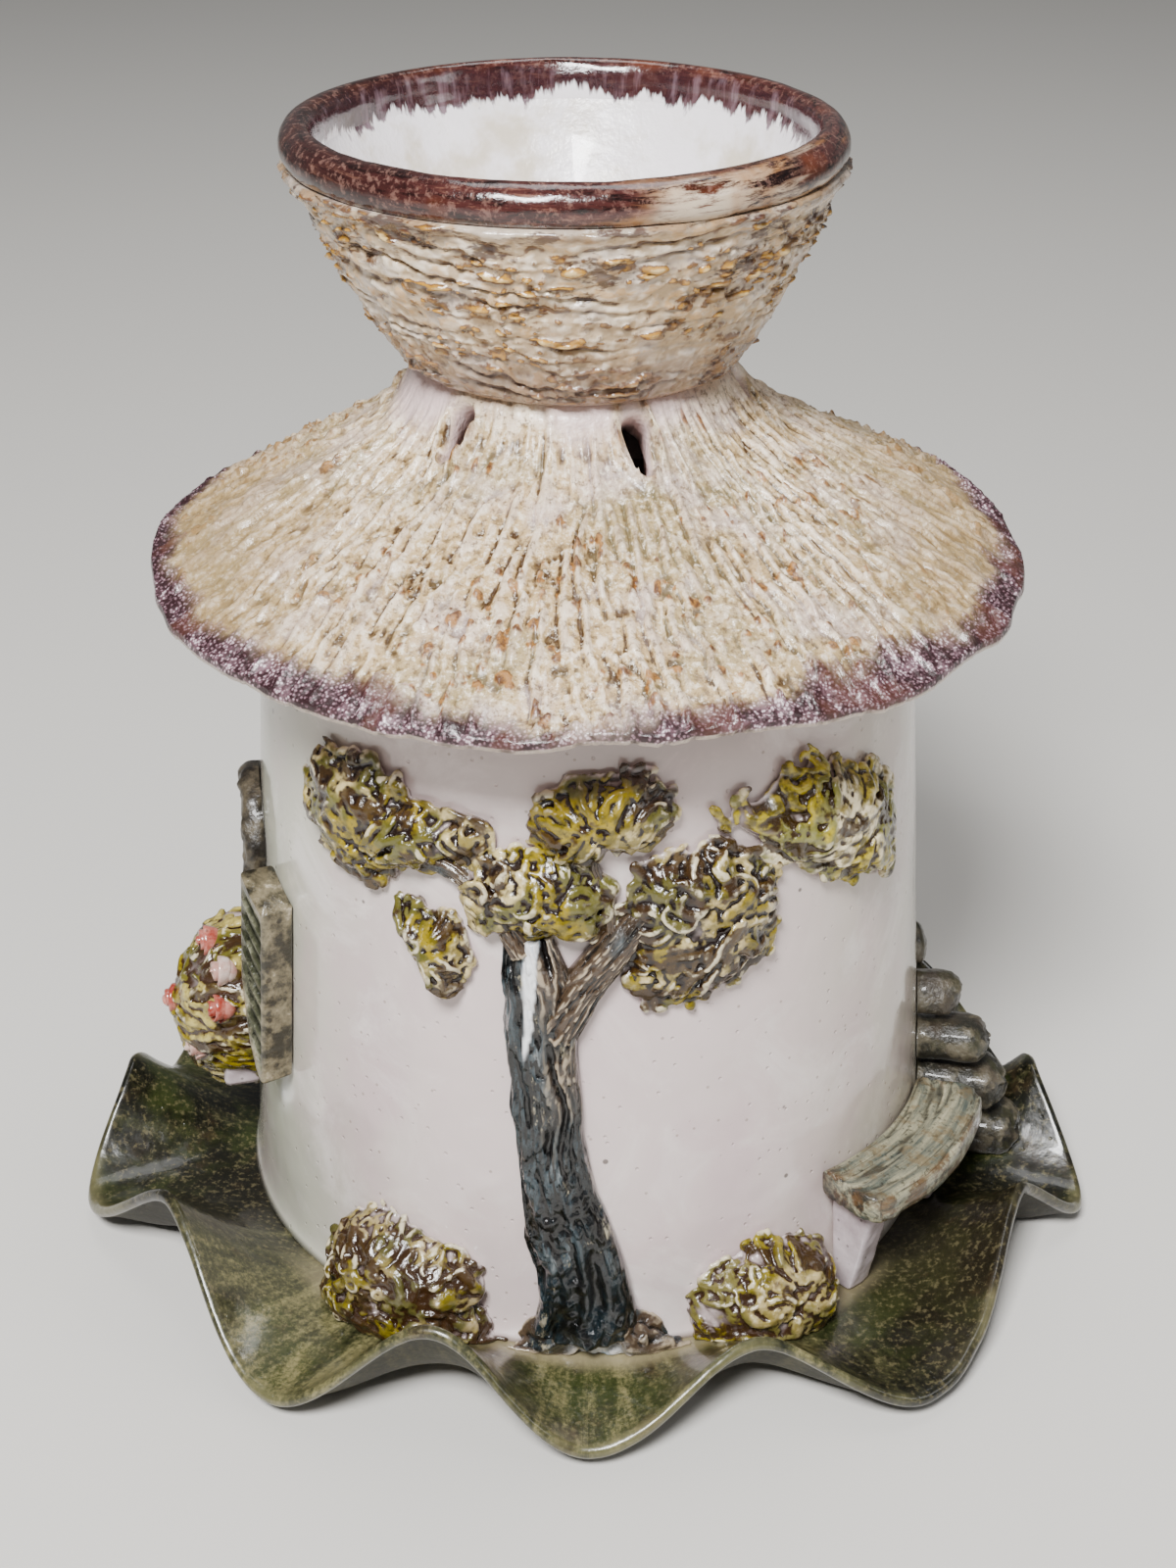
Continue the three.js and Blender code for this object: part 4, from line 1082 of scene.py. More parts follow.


# combed ridges some 4 mm apart that break off and start again, more of them further out, each with a
# groove along one side that also darkens the relief mask as a painted shadow line; bumps between them and
# crumbs; in millimetres, with their masks
def thatchRelief(azimuth, radius):
    turn = np.mod(azimuth, 360) / 360
    reach = (radius - thatch["neckRadius"]) / (thatch["eaveRadius"] - thatch["neckRadius"])
    count = thatch["strawCount"]
    perMm = count / (2 * np.pi * radius)
    drift = 0.5 * ringNoise(turn, 14, radius / 26, 41)
    drift = drift + 0.13 * ringNoise(turn, 70, radius / 4, 42)

    def ridge(phase, width, seed, low, high, aside=0.0):
        keep = softNoise(np.floor(phase), radius / 8, 0, seed, count)
        part = (phase - np.floor(phase) - 0.5 + aside * perMm) / (width * perMm)
        return np.exp(-part ** 2) * smoothStep(keep, low, high)

    phase = turn * count + drift
    between = phase + 0.5 + 0.12 * ringNoise(turn, 40, radius / 9, 44)
    outer, far = smoothStep(reach, 0.1, 0.35), smoothStep(reach, 0.4, 0.7)
    third = 2 * phase + 0.25 + 0.2 * ringNoise(turn, 50, radius / 8, 38)
    straw = np.maximum(ridge(phase, 0.62, 43, -0.5, 0.0), ridge(between, 0.55, 45, -0.4, 0.2) * outer)
    fine = ridge(third, 0.8, 39, -0.1, 0.5) * far
    groove = ridge(phase, 0.3, 43, -0.5, 0.0, 0.95) + ridge(between, 0.28, 45, -0.4, 0.2, 0.9) * outer
    knobs = ringNoise(turn, 230, radius / 1.8, 55)
    bumps = fractal(turn * 170, radius / 2.4, 0, 49, 170, 4)
    patch = ringNoise(turn, 13, radius / 20, 46)
    smooth = smoothStep(0.12 + 0.26 * patch - reach * 1.7, 0.02, 0.2)
    crumb = crumbs(turn * 110, radius / 2.8, 0.24, 47, 110, 0.22, 0.46)
    small = crumbs(turn * 240, radius / 1.5, 0.2, 48, 240, 0.3, 0.6) * outer
    gathered = smoothStep(ringNoise(turn, 30, radius / 8, 40), -0.4, 0.4)
    crumb = np.maximum(crumb, small) * (1 - smooth) * gathered
    comb = thatch["strawHeight"] * (straw * (0.85 + 0.4 * knobs) + 0.45 * fine - 0.4 * groove) + 0.65 * bumps
    lumpy = ventEdge(azimuth, radius) * (0.7 + 0.6 * ringNoise(turn, 120, radius / 3, 37))
    crumb = np.maximum(crumb, 0.7 * lumpy * smoothStep(knobs + bumps, -0.3, 0.5))
    smooth = smooth * (1 - np.clip(lumpy, 0, 0.9))
    height = (1 - 0.8 * smooth) * comb + thatch["crumbHeight"] * crumb + 1.9 * lumpy - 0.3
    # painted shadow line: the groove beside each ridge lowers the relief, so the glaze turns dark there
    relief = np.clip(0.56 + straw * (0.3 + 0.12 * knobs) + 0.16 * fine - 0.38 * groove + 0.36 * bumps, 0, 1)
    return height, relief, crumb, smooth


# lift of the hand-built eave round the house, two sines
def thatchWave(azimuth):
    a = np.radians(azimuth)
    return thatch["waviness"] * (0.6 * np.sin(3 * a + 0.6) + 0.4 * np.sin(7 * a))


# keyhole block, wide at the top, square to the thatch, a little wider outwards
def ventBlock(azimuth):
    wide, narrow, length = vents["width"] / 2, vents["tipWidth"] / 2, vents["length"]
    up, down = np.linspace(0, np.pi, 11), np.linspace(np.pi, 2 * np.pi, 9)
    x = np.concatenate([wide * np.cos(up), narrow * np.cos(down)])
    y = np.concatenate([length / 2 - wide + wide * np.sin(up), narrow - length / 2 + narrow * np.sin(down)])
    slope = np.arctan2(thatchHeight(vents["place"] - 1.5) - thatchHeight(vents["place"] + 1.5), 3.0)
    out, across, upAxis = axesAt(azimuth)
    inward = -out * np.cos(slope) + upAxis * np.sin(slope)
    normal = out * np.sin(slope) + upAxis * np.cos(slope)
    middle = polar(azimuth, vents["place"], thatchHeight(vents["place"]))
    middle[0] += leanAt(middle[2])
    ring = middle + across * x[:, None] + inward * y[:, None]
    spread = ((-12.4, 0.9), (-2.0, 0.94), (1.0, 1.08), (12.4, 1.08))
    rows = [middle + (ring - middle) * s + normal * d for d, s in spread]
    return newMesh("cutter", surface(np.stack(rows)))


# rows of points down the thatch, round the lip, back under the eave and up inside the neck
def makeRoof():
    azimuth = ringOf(thatch["columns"])
    share = np.linspace(0, 1, thatch["rows"])[:, None] ** 0.9
    radius = thatch["neckRadius"] + (thatch["eaveRadius"] - thatch["neckRadius"]) * share + 0 * azimuth
    turn = azimuth / 360
    ragged = 0.6 * ringNoise(turn, 34, 0, 51) + 0.35 * ringNoise(turn, 90, 0, 54)
    radius = radius + share ** 8 * (ragged - 0.15)
    height = thatchRelief(azimuth, radius)[0]
    fade = smoothStep(share, 0.0, 0.03) * (1 - 0.75 * smoothStep(share, 0.965, 1.0))
    wave = thatchWave(azimuth)
    z = thatchHeight(radius) + wave * share ** 6 + height * fade
    top = polar(azimuth, radius, z)
    edge = np.hypot(top[-1, :, 0], top[-1, :, 1])
    rows = [top]

    def row(r, level):
        rows.append(polar(azimuth, r, level)[None])

    lip = thatch["lip"]
    for turn in (0.7, 1.5, 2.4):
        row(edge - 0.3 + 0.5 * np.sin(turn), top[-1, :, 2] - lip + lip * np.cos(turn))
    t = (thatch["underEdge"] - 66) / (thatch["underEdge"] - thatch["seatEdge"])
    row(66, thatch["underHeight"] + thatch["underRise"] * t + wave * (1 - t))
    for r in (thatch["seatEdge"], thatch["ringInner"]):
        row(r, house["roofSeat"])
    bore = thatch["neckRadius"] - thatch["neckWall"]
    for t in (0, 0.4, 0.8):
        r = thatch["ringInner"] + (bore - thatch["ringInner"]) * t
        row(r, thatchHeight(max(r, thatch["neckRadius"])) - thatch["thickness"] * (1 + 0.5 * t))
    for level in (house["neckTop"] - thatch["neckSkirt"], house["neckTop"]):
        row(bore, level)
    rows = leaned(np.concatenate(rows))
    piece = newMesh("thatch", surface(rows, wrapRows=True))
    cutOut(piece, [ventBlock(vents["first"] + 360 * k / vents["count"]) for k in range(vents["count"])])
    settle(piece, "roof", glaze["roof"], ["thatch_roof"])
    p = pointsOf(piece)
    p[:, 0] -= leanAt(p[:, 2])
    r, a = np.hypot(p[:, 0], p[:, 1]), azimuthOf(p)
    relief, crumb, smooth = thatchRelief(a, r)[1:]
    over = p[:, 2] - thatchHeight(r) - thatchWave(a) * (r / thatch["eaveRadius"]) ** 12
    above = smoothStep(over, -1.9, -1.2)
    setMask(piece, "relief", np.where(above > 0.5, np.clip(relief + 1.3 * standing(piece, 4), 0, 1), 0.55))
    setMask(piece, "crumb", crumb * above)
    setMask(piece, "smooth", np.maximum(smooth, 1 - above))
    ragged = ringFractal(a / 360, 60, r / 6, 52)
    low = ringNoise(a / 360, 11, 0, 53)
    band = smoothStep(r + 3.0 * ragged + 2.6 * low, 65.5, 72.5)
    setMask(piece, "band", band * above)
    setMask(piece, "lip", (1 - above) * smoothStep(r, 68, 71))


makeRoof()
print("roof ready")


# bowl and its rim
bowl = dict(rise=32.0, topRadius=43.4, flare=0.78, thickness=5.0, floorThickness=4.6, floorRadius=21.5,
            coils=11.5, coilDepth=1.3, crumbHeight=1.2, columns=560, rows=130)
rim = dict(width=7.0, height=7.6, lift=2.6, columns=400, rows=30)


# radius outside at a height over the bowl's foot, a power curve that flares
def bowlRadius(height):
    t = np.clip(height / bowl["rise"], 0, None)
    return thatch["neckRadius"] + (bowl["topRadius"] - thatch["neckRadius"]) * t ** bowl["flare"]


# coils laid one on another, each with a soft top and a sharper lower edge, that wander, merge and
# tear, with crumbs that hang mostly on the lower edges
def coilRelief(azimuth, height):
    turn = np.mod(azimuth, 360) / 360
    drift = 0.9 * ringNoise(turn, 8, height / 8, 61)
    drift = drift + 0.5 * ringNoise(turn, 24, height / 4, 62)
    drift = drift + 0.3 * ringNoise(turn, 70, height / 2, 63)
    drift = drift + 0.12 * ringNoise(turn, 180, height, 60)
    phase = height / bowl["rise"] * bowl["coils"] + drift
    part = phase - np.floor(phase)
    crease = bell(np.minimum(part, 1 - part), 0, 0.12)
    coil = (0.5 + 0.5 * (1 - part) + 0.25 * np.sin(np.pi * part)) * (1 - 0.75 * crease)
    strength = np.clip(0.5 + 0.75 * ringNoise(turn, 16, height / 4, 64), 0.1, 1.15)
    torn = smoothStep(ringNoise(turn, 55, height / 2.2, 69), 0.1, 0.7)
    wander = 0.6 * ringNoise(turn, 40, height / 3, 66)
    crumb = crumbs(turn * 64 + wander, height / 1.9, 0.45, 65, 64, 0.25, 0.62)
    crumb = np.maximum(crumb, 0.7 * crumbs(turn * 210 + wander, height / 1.1, 0.3, 59, 210, 0.3, 0.6))
    clumpy = smoothStep(ringNoise(turn, 22, height / 5, 67), -0.3, 0.2)
    blob = smoothStep(fractal(turn * 58 + wander, height / 1.5, 0, 58, 58, 3), 0.22, 0.7)
    crumb = np.maximum(crumb, blob) * clumpy * (0.35 + 0.65 * bell(part, 0.2, 0.3))
    bumps = fractal(turn * 150, height / 1.7, 0, 68, 150, 3)
    rise = bowl["coilDepth"] * (coil - 1) * strength + 0.45 - 0.5 * torn * coil
    rise = rise + bowl["crumbHeight"] * crumb + 0.5 * bumps
    rise = rise + 0.8 * bell(height, 31.2, 1.1)
    # the relief falls along each crease, so the glaze turns dark there: glaze pooled in the seam and painted
    # shade
    relief = np.clip(0.64 + 0.26 * (coil - 0.6) - 0.3 * crease * strength + 0.34 * bumps - 0.1 * torn, 0, 1)
    return rise, relief, crumb


# rows of points from the foot up the coiled outside, over the edge and down the plain inside to the floor
def makeBowl():
    azimuth = ringOf(bowl["columns"])
    height = np.linspace(0, bowl["rise"], bowl["rows"])[:, None]
    rise, relief, crumb = coilRelief(azimuth, height)
    fade = smoothStep(height, 0.0, 1.6) * (1 - 0.5 * smoothStep(height, 31.5, 32))
    outside = polar(azimuth, bowlRadius(height) + rise * fade, house["neckTop"] + height)
    down = np.append(bowl["rise"], np.linspace(bowl["rise"] - 0.06, 7.5, 26))[:, None]
    soft = 0.35 * ringFractal(azimuth / 360, 12, down / 14, 69) * smoothStep(-down, -31, -26)
    inside = polar(azimuth, bowlRadius(down) - bowl["thickness"] + soft, house["neckTop"] + down)
    floor = bowl["floorThickness"]
    flat = [polar(azimuth, r, house["neckTop"] + h)[None]
            for r, h in ((26.4, 6.0), (24.6, 5.1), (bowl["floorRadius"], floor), (12, floor), (2, floor))]
    under = [polar(azimuth, r, house["neckTop"])[None] for r in (2.0, 14.0)]
    rows = leaned(np.concatenate([*under, outside, inside, *flat]))
    piece = addPiece("coiled_bowl", surface(rows), "roof", glaze["bowl"], ["bowl"])
    blank = np.zeros((2, bowl["columns"]))
    rest = np.zeros((len(rows) - 2 - bowl["rows"], bowl["columns"]))
    pad = [0.0, 1.0]
    shaped = np.append(np.concatenate([blank, relief, rest + 0.6]), pad)
    setMask(piece, "relief", np.clip(shaped + 1.1 * standing(piece, 4), 0, 1))
    setMask(piece, "crumb", np.concatenate([blank, crumb * fade, rest]), [0, 0])
    setMask(piece, "inside", np.concatenate([blank, 0 * relief, rest + 1]), pad)


# thick roll over the bowl's edge, uneven, with an inner side that runs down into the bowl
def makeRim():
    azimuth = ringOf(rim["columns"])
    turn = azimuth / 360
    start = -np.arcsin(rim["lift"] / (rim["height"] / 2))
    angle = np.linspace(start, np.pi, rim["rows"])[:, None]
    inwards = bowl["topRadius"] - bowl["thickness"]
    middle = inwards + bowl["thickness"] / 2 + 0.4 * ringNoise(turn, 7, 0, 71)
    bulge = 0.25 * ringNoise(turn, 13, 0, 72)
    halfWidth = np.where(np.cos(angle) > 0, rim["width"] / 2, rim["width"] / 2 - 1.4) + bulge
    halfHeight = rim["height"] / 2 - 0.2 + 0.2 * ringNoise(turn, 8, 0, 73)
    dent = 0.2 * ringFractal(turn, 40, angle * 1.2, 74)
    z = house["rimSeat"] + rim["lift"] + (halfHeight + np.minimum(dent, 0)) * np.sin(angle)
    radius = middle + (halfWidth + dent) * np.cos(angle)
    down = np.append(np.linspace(0, 0.985, 7)[1:], 1.0)[:, None]
    low = smoothStep(down, 0, 0.985)
    innerRadius = radius[-1] + (inwards - radius[-1]) * low
    innerHeight = z[-1] + (house["rimSeat"] - z[-1]) * down
    rows = np.concatenate([polar(azimuth, radius, np.maximum(z, house["rimSeat"])),
                           polar(azimuth, innerRadius, innerHeight)])
    shape = surface(leaned(rows), wrapRows=True)
    piece = addPiece("rolled_rim", shape, "roof", glaze["rim"], ["bowl_rim"])
    past = np.concatenate([angle, np.pi + down])
    setFlow(piece, (azimuth * 0.1, past * 2.6, 2 * np.sin(np.radians(azimuth / 2))))
    facing = frontness(azimuth - 38) + 0.6 * ringFractal(turn, 12, past * 1.5, 75)
    setMask(piece, "pale", smoothStep(facing, 0.7, 1.05) * smoothStep(-past, -2.1, -0.9))
    setMask(piece, "inner", smoothStep(past + 0 * azimuth, 2.0, 2.7))


makeBowl()
makeRim()
print("bowl ready")


# tree
wood = dict(
    tree_trunk=dict(stations=[[-0.5, 4, 8.2], [-0.5, 14, 7.1], [-2.8, 24, 6.9], [-5, 34, 5.7],
                              [-6.6, 53, 5.6], [-7.4, 68, 5.8], [-9.4, 78.5, 4]],
                    depth=0.6, steps=190, rib=1.5, brown=0.85, brownSide=-0.75, pale=0.95),
    tree_limb_right=dict(stations=[[-5, 62, 3.6], [-1, 70, 3.4], [3.6, 77, 3.2], [9, 83.5, 2.4]],
                         depth=1.0, steps=80, rib=1.2, brown=1.0, brownSide=-0.2, pale=0.0, brownFrom=0.8),
    tree_limb_left=dict(stations=[[-10, 76, 2.2], [-14, 83.5, 2], [-20, 88.5, 1.8], [-29, 90.5, 1.4]],
                        depth=1.2, steps=80, rib=1.4, brown=1.0, brownSide=0, pale=0.0, brownFrom=0.9),
    tree_twig=dict(stations=[[3.6, 80, 1], [3, 86, 0.9], [1, 91.5, 0.8], [0.5, 97, 0.7]], depth=1.8, steps=60,
                   rib=1.4, brown=1.0, brownSide=0, pale=0.0, brownFrom=0.9))


# azimuths and heights of points a distance to the side of a path on the wall, square to its direction
def beside(path, side):
    along = np.gradient(path[:, :2] * [mmPerDegree, 1], axis=0)
    along /= np.linalg.norm(along, axis=1, keepdims=True)
    return path[:, :1] - along[:, 1:] * side / mmPerDegree, path[:, 1:2] + along[:, :1] * side


# half-round branch on the wall, ribbed lengthwise and knobbly; points go across it and along it
def makeBranch(name, look, seed):
    path = smoothPath(look["stations"], look["steps"])
    stride = np.linalg.norm(np.diff(path[:, :2] * [mmPerDegree, 1], axis=0), axis=1)
    travelled = np.append(0, np.cumsum(stride))[:, None]
    angle = np.linspace(-0.12, np.pi + 0.12, 46)
    half = path[:, 2:3]
    across = np.cos(angle) * np.ones_like(half)
    bend = 0.8 * softNoise(travelled / 9, 0, 0, seed + 3)
    rib = 1 - 2 * np.abs(fractal(angle * 2.9 + bend, travelled / 15, 0, seed, None, 4))
    rib = rib + 0.35 * fractal(angle * 9, travelled / 2.4, 0, seed + 1, None, 2)
    knob = crumbs(angle * 4.6 + 0.8 * bend, travelled / 2.4, 0.42, seed + 5, None, 0.22, 0.6)
    strength = np.minimum(half / 5, 1) * np.clip(np.sin(angle), 0.15, 1) ** 0.5
    rough = strength * (look["rib"] * (rib - 0.4) + 0.6 * knob)
    depth = half * look["depth"] * np.clip(np.sin(angle), 0, 1) ** 0.7 + rough
    side = half * across * (1 + 0.06 * softNoise(travelled / 5, np.sign(across), 0, seed + 9))
    raised = np.maximum(depth, 0.25 * np.sin(np.clip(angle, 0, np.pi)) + 0.02)
    front = onWall(*beside(path, side), house["seam"] + raised)
    backShare = np.linspace(-1, 1, 8)[1:-1]
    back = onWall(*beside(path, backShare * half), house["seam"])
    rings = clearOfBrim(np.concatenate([front, back], 1))
    label = name.replace("tree_", "bark_")
    piece = addPiece(label, surface(rings), "house", glaze["bark"], [name])
    blank = np.zeros((len(path), len(backShare)))

    def spread(values):
        values = np.broadcast_to(values, front.shape[:2])
        return np.append(np.concatenate([values, blank], 1), [0, 0])

    shaped = spread(0.3 + 0.25 * rib + 0.1 * knob)
    setMask(piece, "relief", np.clip(shaped + 1.6 * standing(piece, 4), 0, 1))
    lengthwise = np.concatenate([across * half, blank], 1) * 0.75
    setFlow(piece, (lengthwise, travelled * 0.07, seed * 1.7), 2)
    sideways = softNoise(travelled / 10, across * 1.5, 0, seed + 7)
    sideways = sideways + look["brownSide"] * across + look.get("brownFrom", 0)
    high = path[:, 1:2] + 0 * across
    brown = look["brown"] * smoothStep(sideways, -0.2, 0.5) * smoothStep(high, 36, 60)
    setMask(piece, "brown", spread(brown))
    ragged = 4 * softNoise(travelled / 6, across * 2, 0, seed + 2)
    setMask(piece, "teal", spread(smoothStep(-high + ragged, -24, -12)))
    course = 0.4 - 0.6 * smoothStep(high, 60, 80) + 0.15 * softNoise(travelled / 4, 0, 0, seed + 8)
    streak = bell(across, course, 0.1 + 0.16 * smoothStep(high, 64, 78))
    setMask(piece, "pale", spread(look["pale"] * smoothStep(streak * smoothStep(high, 54, 66), 0.25, 0.5)))


for number, (name, look) in enumerate(wood.items()):
    makeBranch(name, look, 100 + 11 * number)
print("tree ready")


# clumps of pressed strands: outlines are degrees round the wall and heights up it
foliage = dict(reach=6, rounding=4.8, look="leaf", thick=1.05, long=1.0, over=1.14, each=5, curl=1.2,
               ragged=1.0, deep=1.8, fringe=None)
bush = dict(foliage, reach=11, rounding=10, over=1.0, each=2, curl=2.2, ragged=0.6, deep=2.8)
clumps = dict(
    foliage_far_left=dict(
        foliage, bundles=34,
        outline=[[-49.8, 91.6], [-48, 100], [-44.6, 102.3], [-31.8, 100.4], [-24, 98.5], [-17, 95.3],
                 [-21.2, 91.2], [-30, 88], [-38.9, 83.5], [-45.9, 85.2]]),
    foliage_top=dict(
        foliage, bundles=24,
        outline=[[-8.4, 98.5], [-1.5, 106.5], [12.3, 103.4], [10, 96.3], [0, 93.5], [-6, 95]]),
    foliage_centre=dict(
        foliage, bundles=28,
        outline=[[-20, 88.5], [-10, 93.2], [-1.5, 91.5], [3, 86], [1, 81.4], [-6, 80.8], [-12.3, 79.5],
                 [-18.7, 78]]),
    foliage_low_left=dict(
        foliage, bundles=15,
        outline=[[-31.5, 80.5], [-21.5, 80], [-19.8, 76], [-19.4, 70], [-22, 66.5], [-25, 71], [-28.5, 76]]),
    foliage_right=dict(
        foliage, bundles=42, look="leafDeep", fringe=((17, 68.5), (28.5, 77), 9, 6.5, -112),
        outline=[[5.5, 79.5], [7.6, 88], [15.4, 95.5], [22, 94.4], [27.5, 89], [30.9, 82], [25.4, 70.9],
                 [18.7, 67.2], [9, 70]]),
    foliage_far_right=dict(
        foliage, bundles=46, look="leafPale",
        outline=[[25, 98], [31, 102], [38.9, 101.5], [54, 95], [60.5, 85], [58.5, 75], [50, 78.5],
                 [42, 82.5], [34, 87], [29, 91.5]]),
    bush_left=dict(
        bush, bundles=180, look="bushBrown", thick=1.0, long=0.66,
        outline=[[-46, -3], [-45, 8], [-41, 15.5], [-35, 20.9], [-25, 18], [-16.5, 12.7], [-14.5, 4],
                 [-15, -3], [-31, -5]]),
    bush_right=dict(
        bush, bundles=125, look="bushYellow", thick=1.1, long=0.72,
        outline=[[15.5, -3], [16, 8], [24, 17], [32, 16.5], [38.5, 12], [41.6, 4], [41.2, -3], [28, -5]]),
    rose_bush=dict(
        bush, reach=16.5, rounding=15, bundles=120, look="roseLeaf", thick=1.45, long=0.9, curl=2.0,
        outline=[[-69, 43], [-71, 48], [-76, 50.5], [-85, 51], [-94, 45], [-96, 34], [-92, 24],
                 [-86, 17], [-80, 16], [-76, 21], [-72.5, 28], [-69.5, 36]]))
rng = np.random.default_rng(2026)


# clump outline as a distance from its middle for each direction, in millimetres on the wall
def outlineReach(outline):
    p = np.array(outline, float)
    closed = np.vstack([p, p[:2], p[:1] * 0 + p[2]])
    path = smoothPath(closed, 12 * len(closed))
    middle = p.mean(0)
    d = (path - middle) * [mmPerDegree, 1]
    angle, distance = np.arctan2(d[:, 1], d[:, 0]), np.hypot(d[:, 0], d[:, 1])
    order = np.argsort(angle)
    angle, distance = angle[order], distance[order]

    def reachAt(a):
        return np.interp(np.mod(a + np.pi, 2 * np.pi) - np.pi, angle, distance, period=2 * np.pi)

    return middle, reachAt


# place across and up from a lump's middle, kept off the wall and the brim
def onLump(middle, x, y, reach, gap):
    spot = onWall(middle[0] + x / mmPerDegree, middle[1] + y, reach + house["seam"])
    return clearOfBrim(clearOfWall(spot, house["seam"]), gap)


# closed lump: its front, and a coarser back on the wall
def lumpSkin(middle, x, y, reach, gap):
    front = onLump(middle, x, y, reach, gap)
    return surface(np.concatenate([front, onLump(middle, x[::-4], y[::-4], 0 * x[::-4], gap)]))


